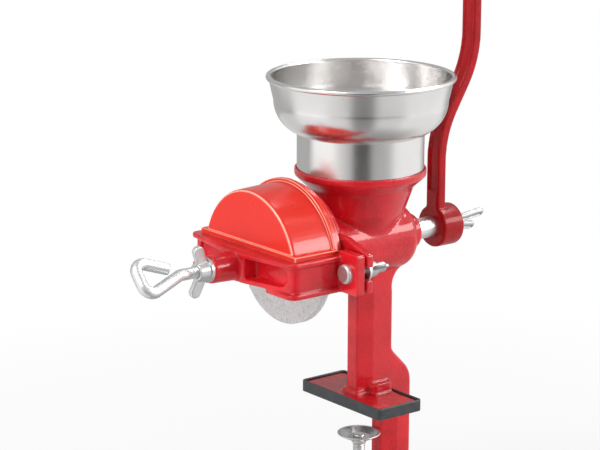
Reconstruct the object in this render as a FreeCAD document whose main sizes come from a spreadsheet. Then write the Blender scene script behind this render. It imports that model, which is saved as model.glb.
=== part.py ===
import FreeCAD, Part
import Sketcher
import math
import os

# Hand grain mill: cast body with a table clamp, steel hopper, feed worm, two burrs,
# a yoke that carries the adjusting screw, a snap-on burr cover and a long crank.
# Millimetres. The origin is the middle of the table pad's underside, +Z is up and
# the shaft runs along +X from the adjusting screw to the crank. Most pieces are drawn
# about the mill's centre, where the shaft line meets the hopper's upright line.

SIZES = {
    # Where the main lines lie
    "shaft_height": 134.5,
    "hopper_offset": -3,
    "clamp_offset": -1.6,
    # Fits
    "running_gap": 0.05,
    "air_gap": 0.4,
    # How far a cut runs past the face it opens, and a joined form into its neighbour
    "overrun": 1,
    # Barrel, rear collar and the seat of the fixed burr
    "barrel_radius": 27,
    "barrel_end": 44,
    "barrel_round": 11,
    "barrel_bore_radius": 17.8,
    "barrel_bore_end": 34,
    "collar_radius": 15,
    "collar_end": 54,
    "collar_round": 2.5,
    "seat_radius": 43,
    "seat_front": -66,
    "seat_guard_radius": 52,
    "seat_web_length": 13,
    # Funnel under the hopper
    "funnel_ring_radius": 52.4,
    "funnel_ring_top": 60.5,
    "funnel_ring_height": 5.5,
    "funnel_lip_wall": 1.7,
    "funnel_socket_depth": 6,
    "funnel_neck_radius": 42.7,
    "funnel_neck_height": 46,
    "funnel_belly_radius": 35.5,
    "funnel_belly_height": 25.5,
    "funnel_foot_radius": 23,
    "funnel_foot_height": 7.5,
    "funnel_wall": 5.5,
    "throat_radius": 14,
    # Ears that take the yoke bolts
    "ear_reach": 85,
    "ear_half_height": 16,
    "ear_front": -62.5,
    "ear_thickness": 6.2,
    "ear_root_top": 23.5,
    "ear_root_reach": 58,
    "ear_slot_height": 10,
    "ear_round": 3,
    "bolt_inset": 12,
    # Column and clamp frame: a thick web whose flanks slant in to a narrow front face
    "web_thickness": 22,
    "rib_thickness": 11.5,
    "flank_length": 13.2,
    "column_front": -7.2,
    "column_rear": 26.7,
    "frame_shift": 20.4,
    "bend_top": -90,
    "bend_angle": 44,
    "bend_top_radius": 8,
    "bend_bottom_radius": 22,
    "frame_front": 19.4,
    "frame_bottom": -214.5,
    "frame_corner_radius": 16,
    "arm_height": 20,
    "arm_rib_height": 6,
    "throat_corner_radius": 7,
    "gusset_reach": 12,
    "gusset_drop": 17,
    "gusset_rise": 3,
    "web_round": 2,
    "boss_radius": 12.5,
    "boss_height": 24,
    # Table plate, its rubber boot and the two low blocks round the column's foot
    "pad_length": 100,
    "pad_width": 45.5,
    "pad_height": 9.5,
    "pad_corner_radius": 4,
    "pad_wall": 2.2,
    "pad_floor": 2.5,
    "plate_drop": 1.4,
    "foot_half_width": 16.5,
    "foot_front": 3.5,
    "foot_inset": 0.5,
    "foot_height": 8.5,
    "foot_round": 3,
    "toe_half_width": 9,
    "toe_reach": 3,
    "toe_height": 4,
    "boot_gap": 1,
    # Hopper
    "hopper_radius": 75,
    "hopper_top": 134.5,
    "hopper_bead_radius": 2,
    "hopper_wall": 1,
    "hopper_side_foot_radius": 69,
    "hopper_side_foot_height": 114.5,
    "hopper_base_height": 88.5,
    "hopper_base_bend": 28,
    "hopper_base_rise": 0.6,
    "hopper_neck_radius": 50.4,
    # Burrs and their carrier
    "burr_radius": 54,
    "fixed_burr_radius": 49,
    "fixed_burr_thickness": 4.5,
    "turning_burr_thickness": 4.7,
    "burr_edge_round": 0.8,
    "burr_eye_radius": 20,
    "burr_gap": 0.8,
    "groove_count": 18,
    "groove_width": 3,
    "groove_offset": 1.5,
    "groove_depth": 1.2,
    "groove_stop": 6,
    "carrier_thickness": 3,
    "carrier_hub_radius": 14,
    "carrier_hub_length": 16,
    "screw_circle_radius": 38,
    "burr_screw_radius": 2.5,
    "burr_screw_depth": 2.6,
    "burr_screw_head_radius": 4.6,
    "burr_screw_head_height": 3.2,
    # Shaft, worm and pin
    "shaft_radius": 8.5,
    "shaft_front_radius": 7,
    "shaft_front": -88,
    "shaft_step": -58,
    "square_half_width": 5.9,
    "square_length": 19,
    "worm_core_radius": 11,
    "worm_radius": 17.2,
    "worm_start": -54,
    "worm_end": 31,
    "worm_collar_length": 9.6,
    "worm_pitch": 21,
    "worm_flight_foot": 6,
    "worm_flight_tip": 2.6,
    "worm_pin_place": -50,
    "carrier_pin_place": -83.5,
    "pin_radius": 2.4,
    # Thrust ball and adjusting screw
    "ball_radius": 4.5,
    "ball_seat_depth": 5,
    "thrust_gap": 0.3,
    "screw_radius": 4.6,
    "handle_start": -174,
    "handle_end": -210.5,
    "handle_leg_angle": 19,
    "handle_rise": 18.2,
    "handle_return_angle": 22.7,
    "handle_bend_radius": 7,
    "handle_tail_length": 21,
    "handle_rest_angle": -41.4,
    # Washer and wing nut that lock the adjusting screw
    "lock_washer_radius": 9.6,
    "lock_washer_thickness": 2.2,
    "lock_nut_radius": 8,
    "lock_nut_length": 9,
    "lock_wing_length": 11,
    "lock_wing_angle": 68,
    "lock_nut_rest_angle": 8,
    # Yoke
    "yoke_front": -116.5,
    "yoke_wall": 7.5,
    "yoke_half_width": 64,
    "yoke_half_height": 12,
    "yoke_corner_radius": 7,
    "yoke_flange_thickness": 3.6,
    "yoke_middle_front": -126,
    "yoke_middle_half_width": 12.5,
    "yoke_flange_reach": 3,
    "yoke_flange_side": 2,
    "yoke_brow_reach": 0.8,
    "yoke_lip_height": 4,
    "yoke_lip_start": 33,
    "yoke_ear_thickness": 8,
    "yoke_ear_gap": 1.9,
    "yoke_ear_round": 2.5,
    "yoke_pocket_depth": 3,
    "yoke_pocket_start": 14,
    "yoke_pocket_end": 55.5,
    "yoke_pocket_half_height": 8,
    "nose_radius": 10.8,
    "nose_front": -149,
    "nose_foot_radius": 11.7,
    "nose_round": 1.2,
    # Yoke bolts, washers and wing nuts
    "bolt_radius": 4,
    "bolt_head_radius": 7.6,
    "bolt_head_height": 4.2,
    "bolt_head_land": 0.8,
    "bolt_end": -36,
    "bolt_end_bevel": 0.8,
    "washer_radius": 8.6,
    "washer_thickness": 1.8,
    "wing_nut_radius": 7.2,
    "wing_nut_length": 9,
    "wing_nut_taper": 1.4,
    "wing_length": 9.5,
    "wing_angle": 48,
    "wing_half_width": 4.2,
    "wing_thickness": 4,
    "near_nut_rest_angle": 105,
    "far_nut_rest_angle": 70,
    # Burr cover
    "cover_drop": 1.5,
    "cover_front": -110.5,
    "cover_rear": -70,
    "cover_skirt_end": -64.5,
    "cover_front_radius": 57.8,
    "cover_rear_radius": 59.2,
    "cover_rim_radius": 62,
    "cover_rim_width": 4,
    "cover_wall": 1.4,
    "cover_lip_height": 3.8,
    "cover_lip_half_width": 60.3,
    "cover_lip_reach": 1.6,
    "cover_edge_round": 3,
    "cover_tab_length": 10,
    "cover_tab_depth": 4,
    "cover_tab_wall": 2.2,
    # Crank arm and its fastening
    "hub_front": 76,
    "hub_length": 21,
    "hub_radius": 17,
    "hub_round": 1.5,
    "arm_thickness": 8.4,
    "arm_width": 15,
    "arm_offset": 35.3,
    "arm_bend_bottom": 55,
    "arm_bend_radius": 80,
    "arm_bend_angle": 31,
    "arm_channel_depth": 2,
    "arm_channel_width": 9.5,
    "arm_channel_start": 30,
    "arm_channel_end_gap": 4,
    "arm_round": 1.2,
    "crank_throw": 225,
    "crank_boss_radius": 11.5,
    "crank_boss_length": 13,
    "crank_washer_radius": 11,
    "crank_washer_thickness": 2,
    "crank_bolt_radius": 4,
    "crank_bolt_depth": 15,
    "crank_bolt_hole_spare": 2,
    "crank_bolt_head_radius": 7,
    "crank_bolt_head_length": 8.5,
    "crank_wing_length": 19.5,
    "crank_wing_angle": 42,
    "crank_bolt_rest_angle": 56,
    # Grip
    "spindle_radius": 4,
    "spindle_head_radius": 7,
    "spindle_head_height": 3,
    "spindle_head_land": 0.8,
    "grip_length": 98,
    "grip_radius": 15.5,
    "grip_neck_radius": 10.5,
    "grip_round": 2,
    "grip_gap": 0.6,
    "grip_washer_radius": 7,
    "grip_washer_thickness": 1.4,
    "cap_nut_radius": 6.5,
    "cap_nut_dome_radius": 5.5,
    "cap_nut_top_radius": 1,
    "cap_nut_height": 8,
    "cap_nut_wall": 2,
    # Clamp screw
    "clamp_gap": 26.7,
    "clamp_screw_radius": 5,
    "clamp_tip_radius": 3.2,
    "clamp_tip_flare": 1.6,
    "clamp_tip_height": 2,
    "clamp_shoulder": 1,
    "clamp_head_gap": 30,
    "clamp_head_radius": 8,
    "clamp_head_height": 15,
    "clamp_head_bevel": 1.5,
    "clamp_disc_radius": 17.6,
    "clamp_disc_height": 5.4,
    "clamp_disc_wall": 2,
    "clamp_bowl_depth": 3.6,
    "clamp_bowl_floor_radius": 9,
    "clamp_disc_hub_radius": 5.8,
    "clamp_disc_hub_height": 3.4,
    "tee_bar_radius": 3.2,
    "tee_bar_length": 84,
    "tee_end_radius": 5,
    "tee_end_length": 7,
    "tee_end_wall": 1.5,
    "tee_end_round": 1.4,
}


class Length:
    """A size or a sum of sizes that knows its number and its spreadsheet formula."""

    def __init__(self, number, formula):
        self.number = float(number)
        self.formula = formula

    def __add__(self, other):
        other = as_length(other)
        return Length(self.number + other.number, f"({self.formula} + {other.formula})")

    def __radd__(self, other):
        return as_length(other) + self

    def __sub__(self, other):
        other = as_length(other)
        return Length(self.number - other.number, f"({self.formula} - {other.formula})")

    def __rsub__(self, other):
        return as_length(other) - self

    def __mul__(self, other):
        other = as_length(other)
        return Length(self.number * other.number, f"({self.formula} * {other.formula})")

    def __rmul__(self, other):
        return as_length(other) * self

    def __truediv__(self, other):
        other = as_length(other)
        return Length(self.number / other.number, f"({self.formula} / {other.formula})")

    def __neg__(self):
        return Length(-self.number, f"(0 - {self.formula})")


def as_length(thing):
    return thing if isinstance(thing, Length) else Length(thing, repr(float(thing)))


def sine(angle):
    angle = as_length(angle)
    return Length(math.sin(math.radians(angle.number)), f"sin({angle.formula})")


def cosine(angle):
    angle = as_length(angle)
    return Length(math.cos(math.radians(angle.number)), f"cos({angle.formula})")


def root(area):
    return Length(math.sqrt(area.number), f"sqrt({area.formula})")


class Bend:
    """An arc to the next point of an outline; it turns left (+1) or right (-1)."""

    def __init__(self, radius, turn):
        self.radius = as_length(radius)
        self.turn = turn


class Circle:
    def __init__(self, x, y, radius):
        self.x = as_length(x)
        self.y = as_length(y)
        self.radius = as_length(radius)


doc = FreeCAD.newDocument("hand_grain_mill")
sheet = doc.addObject("Spreadsheet::Sheet", "size")
for row, (alias, number) in enumerate(SIZES.items(), start=1):
    sheet.set(f"A{row}", alias)
    sheet.set(f"B{row}", str(number))
    sheet.setAlias(f"B{row}", alias)
doc.recompute()


class SizeNames:
    """Gives each cell of the sheet as an attribute."""

    def __getattr__(self, alias):
        return Length(SIZES[alias], f"size.{alias}")


d = SizeNames()
pieces = []
NORMAL_SIGN = {"XY_Plane": 1, "YZ_Plane": 1, "XZ_Plane": -1}
SAME_PLACE = 1e-3


def arc_centre(start, end, radius, turn):
    """Centre of the short arc of that radius between two points."""
    middle = ((start[0] + end[0]) / 2, (start[1] + end[1]) / 2)
    run = (end[0] - start[0], end[1] - start[1])
    chord = math.hypot(*run)
    rise = math.sqrt(max(radius ** 2 - chord ** 2 / 4, 0.0)) / chord * turn
    return FreeCAD.Vector(middle[0] - run[1] * rise, middle[1] + run[0] * rise, 0)


class Piece:
    """One physical piece: a body with sketches and features bound to the sheet."""

    def __init__(self, label, x=0, y=0, z=0, copies=False):
        self.body = doc.addObject("PartDesign::Body", label)
        self.body.Label = label
        self.body.AllowCompound = copies
        for axis, place in zip("xyz", (x, y, z)):
            self.body.setExpression(f"Placement.Base.{axis}", as_length(place).formula)
        pieces.append(self.body)

    def tilt(self, axis, angle):
        """Turns the finished piece about a line through its own origin."""
        angle = as_length(angle)
        base = self.body.Placement.Base
        self.body.Placement = FreeCAD.Placement(base, FreeCAD.Rotation(axis, angle.number))
        self.body.setExpression("Placement.Rotation.Angle", angle.formula)

    def new_sketch(self, plane, height=0):
        sketch = self.body.newObject("Sketcher::SketchObject", "Outline")
        origin_plane = next(f for f in self.body.Origin.OriginFeatures if f.Role == plane)
        sketch.AttachmentSupport = (origin_plane, "")
        sketch.MapMode = "FlatFace"
        height = as_length(height) * NORMAL_SIGN[plane]
        sketch.setExpression("AttachmentOffset.Base.z", height.formula)
        return sketch

    def pin_point(self, sketch, line, end, point):
        for kind, place in zip(("DistanceX", "DistanceY"), point):
            index = sketch.addConstraint(
                Sketcher.Constraint(kind, -1, 1, line, end, place.number))
            sketch.setExpression(f"Constraints[{index}]", place.formula)

    def add_path(self, sketch, outline, closed=True):
        """Draws lines and bends through the points, each point tied to the sheet."""
        points = []
        bends = []
        for item in outline:
            if isinstance(item, Bend):
                bends[-1] = item
            else:
                points.append((as_length(item[0]), as_length(item[1])))
                bends.append(None)
        first = sketch.GeometryCount
        count = len(points) if closed else len(points) - 1
        ends = []
        for index in range(count):
            start = points[index]
            end = points[(index + 1) % len(points)]
            a = (start[0].number, start[1].number)
            b = (end[0].number, end[1].number)
            bend = bends[index]
            if bend is None:
                sketch.addGeometry(Part.LineSegment(
                    FreeCAD.Vector(*a, 0), FreeCAD.Vector(*b, 0)))
                ends.append((1, 2))
            else:
                centre = arc_centre(a, b, bend.radius.number, bend.turn)
                angles = [math.atan2(p[1] - centre.y, p[0] - centre.x) for p in (a, b)]
                if bend.turn < 0:
                    angles.reverse()
                if angles[1] < angles[0]:
                    angles[1] += 2 * math.pi
                circle = Part.Circle(centre, FreeCAD.Vector(0, 0, 1), bend.radius.number)
                sketch.addGeometry(Part.ArcOfCircle(circle, *angles))
                ends.append((1, 2) if bend.turn > 0 else (2, 1))
        for index in range(count):
            if closed or index + 1 < count:
                after = (index + 1) % count
                sketch.addConstraint(Sketcher.Constraint(
                    "Coincident", first + index, ends[index][1], first + after, ends[after][0]))
            self.pin_point(sketch, first + index, ends[index][0], points[index])
            bend = bends[index]
            if bend is not None:
                place = sketch.addConstraint(
                    Sketcher.Constraint("Radius", first + index, bend.radius.number))
                sketch.setExpression(f"Constraints[{place}]", bend.radius.formula)
        if not closed:
            self.pin_point(sketch, first + count - 1, ends[-1][1], points[-1])

    def add_circle(self, sketch, circle):
        centre = FreeCAD.Vector(circle.x.number, circle.y.number, 0)
        place = sketch.addGeometry(
            Part.Circle(centre, FreeCAD.Vector(0, 0, 1), circle.radius.number))
        self.pin_point(sketch, place, 3, (circle.x, circle.y))
        index = sketch.addConstraint(Sketcher.Constraint("Radius", place, circle.radius.number))
        sketch.setExpression(f"Constraints[{index}]", circle.radius.formula)

    def draw(self, plane, outlines, height=0):
        sketch = self.new_sketch(plane, height)
        for outline in outlines:
            if isinstance(outline, Circle):
                self.add_circle(sketch, outline)
            else:
                self.add_path(sketch, outline)
        return sketch

    def finish(self, feature, adds):
        """Recomputes, and makes sure that the feature really added or cut something."""
        before = self.volume
        doc.recompute()
        self.body.Tip = feature
        doc.recompute()
        after = self.volume
        if (after - before) * (1 if adds else -1) <= 0:
            raise RuntimeError(f"{self.body.Label}: {feature.Name} changed nothing")
        return feature

    @property
    def volume(self):
        shape = self.body.Shape
        return 0.0 if shape.isNull() else shape.Volume

    def turned(self, outline, axis="H_Axis", adds=True):
        """Turns an outline in the XZ plane about the piece's X (H) or Z (V) line."""
        sketch = self.draw("XZ_Plane", [outline])
        kind = "PartDesign::Revolution" if adds else "PartDesign::Groove"
        feature = self.body.newObject(kind, "Turning" if adds else "Bore")
        feature.Profile = sketch
        feature.ReferenceAxis = (sketch, [axis])
        feature.Angle = 360
        return self.finish(feature, adds)

    def pad(self, plane, low, high, outlines):
        """Raises outlines between two heights along the plane's axis."""
        base = high if plane == "XZ_Plane" else low
        sketch = self.draw(plane, outlines, base)
        feature = self.body.newObject("PartDesign::Pad", "Pad")
        feature.Profile = sketch
        feature.setExpression("Length", (as_length(high) - low).formula)
        return self.finish(feature, True)

    def cut(self, plane, low, high, outlines):
        """Cuts outlines away between two heights along the plane's axis."""
        base = high if plane == "XZ_Plane" else low
        sketch = self.draw(plane, outlines, base)
        feature = self.body.newObject("PartDesign::Pocket", "Pocket")
        feature.Profile = sketch
        feature.Reversed = True
        feature.setExpression("Length", (as_length(high) - low).formula)
        return self.finish(feature, False)

    def cross_bore(self, radius, *places):
        """Drills pin holes straight down through a round form of that radius."""
        reach = radius + d.overrun
        return self.cut("XY_Plane", -reach, reach, [
            Circle(place, 0, d.pin_radius) for place in places])

    def edges(self, test):
        """Names of the edges whose box passes the test."""
        shape = self.body.Tip.Shape
        names = []
        for index, edge in enumerate(shape.Edges, start=1):
            if test(edge, edge.BoundBox):
                names.append(f"Edge{index}")
        if not names:
            raise RuntimeError(f"{self.body.Label}: no edge to round")
        return names

    def round(self, radius, test):
        names = self.edges(test)
        base = self.body.Tip
        feature = self.body.newObject("PartDesign::Fillet", "Fillet")
        feature.Base = (base, names)
        feature.setExpression("Radius", as_length(radius).formula)
        doc.recompute()
        self.body.Tip = feature
        doc.recompute()

    def bevel(self, size, test):
        names = self.edges(test)
        base = self.body.Tip
        feature = self.body.newObject("PartDesign::Chamfer", "Chamfer")
        feature.Base = (base, names)
        feature.setExpression("Size", as_length(size).formula)
        doc.recompute()
        self.body.Tip = feature
        doc.recompute()

    def around(self, features, count, plane_axis="X_Axis"):
        """Repeats features evenly about one of the piece's own axes."""
        pattern = self.body.newObject("PartDesign::PolarPattern", "Ring")
        axis = next(f for f in self.body.Origin.OriginFeatures if f.Role == plane_axis)
        pattern.Originals = features
        pattern.Axis = (axis, [""])
        pattern.Angle = 360
        pattern.setExpression("Occurrences", as_length(count).formula)
        self.body.Tip = pattern
        doc.recompute()


def rectangle(x0, x1, y0, y1):
    return [(x0, y0), (x1, y0), (x1, y1), (x0, y1)]


def rounded_rectangle(x0, x1, y0, y1, radius):
    return [
        (x0 + radius, y0), (x1 - radius, y0), Bend(radius, 1),
        (x1, y0 + radius), (x1, y1 - radius), Bend(radius, 1),
        (x1 - radius, y1), (x0 + radius, y1), Bend(radius, 1),
        (x0, y1 - radius), (x0, y0 + radius), Bend(radius, 1)]


def tube(x0, x1, inner, outer):
    return rectangle(x0, x1, inner, outer)


def same(a, b):
    """True where two places of the model are the same within rounding."""
    return abs(a - b) < SAME_PLACE


def at_x(place, least_radius=0.0):
    """Test for round edges that lie in a plane across the shaft line."""
    def test(edge, box):
        return same(box.XMin, place.number) and same(box.XMax, place.number) and (
            box.ZMax > least_radius)
    return test


centre = dict(x=d.hopper_offset, z=d.shaft_height)
ground = -d.shaft_height
ear_front = d.ear_front
ear_back = d.ear_front + d.ear_thickness
plate_top = ground + d.pad_height - d.plate_drop
plate_bottom = ground + d.pad_floor
pad_middle = -d.hopper_offset
clamp_line = d.clamp_offset - d.hopper_offset
spine_rear = d.column_rear + d.frame_shift
spine_step = d.frame_front + d.flank_length
bolt_line = d.ear_reach - d.bolt_inset
burr_face = d.seat_front - d.fixed_burr_thickness
turning_face = burr_face - d.burr_gap
carrier_back = turning_face - d.turning_burr_thickness
carrier_front = carrier_back - d.carrier_thickness
carrier_nose = carrier_front - d.carrier_hub_length
ball_middle = carrier_nose + d.ball_seat_depth - d.thrust_gap - d.ball_radius
screw_tip = ball_middle - d.ball_radius - d.thrust_gap
yoke_ear_back = ear_front - d.yoke_ear_gap
yoke_ear_front = yoke_ear_back - d.yoke_ear_thickness
hub_end = d.hub_front + d.hub_length


def ring_places(count, radius, first_angle=0):
    """Centres of a ring of screws."""
    places = []
    for index in range(count):
        angle = first_angle + 360 / count * index
        places.append((radius * cosine(angle), radius * sine(angle)))
    return places


def capsule(x, y, angle, length, half):
    """A bar with one round end that leaves a point at an angle."""
    along = (cosine(angle), sine(angle))
    across = (-sine(angle), cosine(angle))
    end = (x + length * along[0], y + length * along[1])
    return [
        (x - half * across[0], y - half * across[1]),
        (end[0] - half * across[0], end[1] - half * across[1]), Bend(half, 1),
        (end[0] + half * along[0], end[1] + half * along[1]), Bend(half, 1),
        (end[0] + half * across[0], end[1] + half * across[1]),
        (x + half * across[0], y + half * across[1])]


def flip(outline):
    """The same outline on the other side of the horizontal axis."""
    return [Bend(item.radius, -item.turn) if isinstance(item, Bend)
            else (item[0], -as_length(item[1])) for item in outline]


def swap(outline):
    """The same outline on the other side of the upright axis."""
    return [Bend(item.radius, -item.turn) if isinstance(item, Bend)
            else (-as_length(item[0]), item[1]) for item in outline]


def side_by_side(sign, near, far):
    """Two distances from the middle as low and high places on the side of that sign."""
    return (near, far) if sign > 0 else (-far, -near)


def make_body():
    """The casting: burr seat, barrel, funnel, ears, column, clamp frame and table plate."""
    piece = Piece("mill_body", **centre)
    arm_top = d.frame_bottom + d.arm_height
    rib_top = arm_top + d.arm_rib_height
    gusset_top = -d.barrel_radius
    corner = d.frame_corner_radius
    inner = d.throat_corner_radius
    column_step = d.column_front + d.flank_length

    # The bend from column to spine: an arc, a slanted line and an arc
    top_bend = d.bend_top_radius
    bottom_bend = d.bend_bottom_radius
    across = sine(d.bend_angle)
    along = cosine(d.bend_angle)
    arcs = top_bend + bottom_bend
    slant = (d.frame_shift - arcs * (1 - along)) / across
    bend_bottom = d.bend_top - arcs * across - slant * along

    # Column web, clamp spine and lower arm in one outline, open toward the screw end
    half = d.web_thickness / 2
    piece.pad("XZ_Plane", -half, half, [[
        (column_step, 0),
        (column_step, plate_bottom),
        (spine_step, plate_bottom),
        (spine_step, arm_top + inner), Bend(inner, -1),
        (spine_step - inner, arm_top),
        (clamp_line, arm_top),
        (clamp_line, d.frame_bottom),
        (spine_rear - corner, d.frame_bottom), Bend(corner, 1),
        (spine_rear, d.frame_bottom + corner),
        (spine_rear, bend_bottom), Bend(bottom_bend, 1),
        (spine_rear - bottom_bend * (1 - along), bend_bottom + bottom_bend * across),
        (d.column_rear + top_bend * (1 - along), d.bend_top - top_bend * across),
        Bend(top_bend, -1),
        (d.column_rear, d.bend_top),
        (d.column_rear, gusset_top - d.gusset_drop), Bend(d.gusset_drop, -1),
        (d.column_rear + d.gusset_reach, gusset_top + d.gusset_rise),
        (d.column_rear + d.gusset_reach, 0)]])

    def rear_edge(edge, box):
        on_side = same(abs(box.YMin), half.number) and same(box.YMin, box.YMax)
        in_barrel = box.ZMin > gusset_top.number
        at_front = same(box.XMax, spine_step.number) or box.XMax < d.column_rear.number - 1
        return on_side and not in_barrel and not at_front
    piece.round(d.web_round, rear_edge)

    # Slanted flanks in front of the web, on the column and on the spine below it
    rib_half = d.rib_thickness / 2
    for low, high, front in (
            (plate_bottom, 0, d.column_front), (arm_top, plate_bottom, d.frame_front)):
        step = front + d.flank_length
        piece.pad("XY_Plane", low, high, [[
            (front, -rib_half), (step, -half), (step + d.overrun, -half),
            (step + d.overrun, half), (step, half), (front, rib_half)]])

    # Rib on the lower arm, and its round inner corner with the spine
    piece.pad("XZ_Plane", -rib_half, rib_half, [[
        (d.frame_front, plate_bottom),
        (d.frame_front, rib_top + inner), Bend(inner, -1),
        (d.frame_front - inner, rib_top),
        (clamp_line, rib_top),
        (clamp_line, d.frame_bottom + d.arm_rib_height),
        (spine_rear - corner, d.frame_bottom + d.arm_rib_height),
        (spine_rear - corner, plate_bottom)]])

    # Boss of the clamp screw
    piece.pad("XY_Plane", d.frame_bottom, d.frame_bottom + d.boss_height,
              [Circle(clamp_line, 0, d.boss_radius)])

    # Table plate and the two low blocks on it, round the column's foot
    plate_half_width = d.pad_width / 2 - d.pad_wall
    plate_half_length = d.pad_length / 2 - d.pad_wall
    piece.pad("XY_Plane", plate_bottom, plate_top, [rounded_rectangle(
        pad_middle - plate_half_width, pad_middle + plate_half_width,
        -plate_half_length, plate_half_length, d.pad_corner_radius - d.pad_wall / 2)])
    piece.pad("XY_Plane", plate_top, plate_top + d.foot_height, [rounded_rectangle(
        d.foot_front, pad_middle + plate_half_width - d.foot_inset,
        -d.foot_half_width, d.foot_half_width, d.foot_round)])
    piece.pad("XY_Plane", plate_top, plate_top + d.toe_height, [rounded_rectangle(
        d.column_front - d.toe_reach, column_step,
        -d.toe_half_width, d.toe_half_width, d.foot_round)])

    # Seat, barrel and collar turned about the shaft line
    piece.turned([
        (d.seat_front, 0),
        (d.seat_front, d.seat_radius),
        (ear_back, d.seat_radius),
        (ear_back, d.barrel_radius + d.seat_web_length),
        (ear_back + d.seat_web_length, d.barrel_radius),
        (d.barrel_end - d.barrel_round, d.barrel_radius), Bend(d.barrel_round, -1),
        (d.barrel_end, d.barrel_radius - d.barrel_round),
        (d.barrel_end, d.collar_radius),
        (d.collar_end - d.collar_round, d.collar_radius), Bend(d.collar_round, -1),
        (d.collar_end, d.collar_radius - d.collar_round),
        (d.collar_end, 0)])

    # Funnel turned about the hopper's upright line
    ring_bottom = d.funnel_ring_top - d.funnel_ring_height
    piece.turned([
        (0, 0),
        (d.funnel_foot_radius, 0),
        (d.funnel_foot_radius, d.funnel_foot_height),
        (d.funnel_belly_radius, d.funnel_belly_height),
        (d.funnel_neck_radius, d.funnel_neck_height),
        (d.funnel_ring_radius, ring_bottom),
        (d.funnel_ring_radius, d.funnel_ring_top),
        (0, d.funnel_ring_top)], axis="V_Axis")

    # Ears beside the seat
    turn = d.ear_round
    low = -d.ear_half_height
    high = d.ear_half_height
    piece.pad("YZ_Plane", ear_front, ear_back, [[
        (-d.ear_reach, low + turn), Bend(turn, 1),
        (-d.ear_reach + turn, low),
        (d.ear_reach - turn, low), Bend(turn, 1),
        (d.ear_reach, low + turn),
        (d.ear_reach, high - turn), Bend(turn, 1),
        (d.ear_reach - turn, high),
        (d.ear_root_reach, d.ear_root_top),
        (-d.ear_root_reach, d.ear_root_top),
        (-d.ear_reach + turn, high), Bend(turn, 1),
        (-d.ear_reach, high - turn)]])
    guard = d.seat_guard_radius
    piece.pad("YZ_Plane", ear_front, ear_back, [[
        (-guard, 0), (guard, 0), Bend(guard, 1), (0, guard), Bend(guard, 1)]])

    # Hollow of the funnel and socket of the hopper
    socket = d.funnel_ring_radius - d.funnel_lip_wall
    floor = d.funnel_ring_top - d.funnel_socket_depth
    piece.turned([
        (0, d.funnel_foot_height / 2),
        (d.throat_radius, d.funnel_foot_height / 2),
        (d.throat_radius, d.funnel_foot_height),
        (d.funnel_belly_radius - d.funnel_wall, d.funnel_belly_height),
        (d.funnel_neck_radius - d.funnel_wall, d.funnel_neck_height),
        (d.hopper_neck_radius - d.funnel_wall, floor),
        (socket, floor),
        (socket, d.funnel_ring_top + d.overrun),
        (0, d.funnel_ring_top + d.overrun)], axis="V_Axis", adds=False)

    # Bore of the barrel and of the rear bearing
    bearing = d.shaft_radius + d.running_gap
    piece.turned([
        (d.seat_front - d.overrun, 0),
        (d.seat_front - d.overrun, d.barrel_bore_radius),
        (d.barrel_bore_end, d.barrel_bore_radius),
        (d.barrel_bore_end, bearing),
        (d.collar_end + d.overrun, bearing),
        (d.collar_end + d.overrun, 0)], adds=False)

    # Open slots for the yoke bolts
    slot = d.ear_slot_height / 2
    through = (ear_front - d.overrun, ear_back + d.overrun)
    for sign in (-1, 1):
        low, high = side_by_side(sign, bolt_line, d.ear_reach + d.overrun)
        piece.cut("YZ_Plane", *through, [rectangle(low, high, -slot, slot)])
    piece.cut("YZ_Plane", *through, [Circle(-bolt_line, 0, slot), Circle(bolt_line, 0, slot)])

    # Screw holes of the fixed burr, with room for the heads behind the seat
    places = ring_places(3, d.screw_circle_radius, 90)
    piece.cut("YZ_Plane", d.seat_front - d.overrun, ear_back + d.overrun, [
        Circle(*place, d.burr_screw_radius) for place in places])
    piece.cut("YZ_Plane", ear_back, ear_back + d.seat_web_length + d.overrun, [
        Circle(*place, d.burr_screw_head_radius + d.air_gap) for place in places])

    # Threaded hole of the clamp screw
    piece.cut("XY_Plane", d.frame_bottom - d.overrun, rib_top + d.overrun, [
        Circle(clamp_line, 0, d.clamp_screw_radius + d.running_gap)])
    return piece


def make_boot():
    """Rubber boot that wraps the table plate, notched round the clamp spine."""
    piece = Piece("table_boot", **centre)
    half_width = d.pad_width / 2
    half_length = d.pad_length / 2
    rim = ground + d.pad_height
    piece.pad("XY_Plane", ground, rim, [rounded_rectangle(
        pad_middle - half_width, pad_middle + half_width,
        -half_length, half_length, d.pad_corner_radius)])
    piece.cut("XY_Plane", plate_bottom, rim + d.overrun, [rounded_rectangle(
        pad_middle - half_width + d.pad_wall, pad_middle + half_width - d.pad_wall,
        -half_length + d.pad_wall, half_length - d.pad_wall,
        d.pad_corner_radius - d.pad_wall / 2)])
    notch = d.web_thickness / 2 + d.boot_gap
    piece.cut("XY_Plane", ground - d.overrun, rim + d.overrun, [rectangle(
        d.frame_front - d.boot_gap, pad_middle + half_width + d.overrun, -notch, notch)])
    return piece


def make_hopper():
    """Spun steel bowl with a rolled rim and a neck that drops into the funnel."""
    piece = Piece("hopper", **centre)
    bead = d.hopper_bead_radius
    wall = d.hopper_wall
    neck = d.hopper_neck_radius
    floor = d.funnel_ring_top - d.funnel_socket_depth
    side_top = d.hopper_radius - 2 * bead + wall
    top = d.hopper_top - bead
    foot = d.hopper_side_foot_radius
    piece.turned([
        (neck - wall, floor),
        (neck, floor),
        (neck, d.hopper_base_height), Bend(d.hopper_base_bend, 1),
        (foot, d.hopper_side_foot_height),
        (side_top, top),
        (side_top - wall, top),
        (foot - wall, d.hopper_side_foot_height), Bend(d.hopper_base_bend - wall, -1),
        (neck - wall, d.hopper_base_height + d.hopper_base_rise)], axis="V_Axis")
    piece.turned(Circle(d.hopper_radius - bead, top, bead), axis="V_Axis")
    return piece


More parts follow.
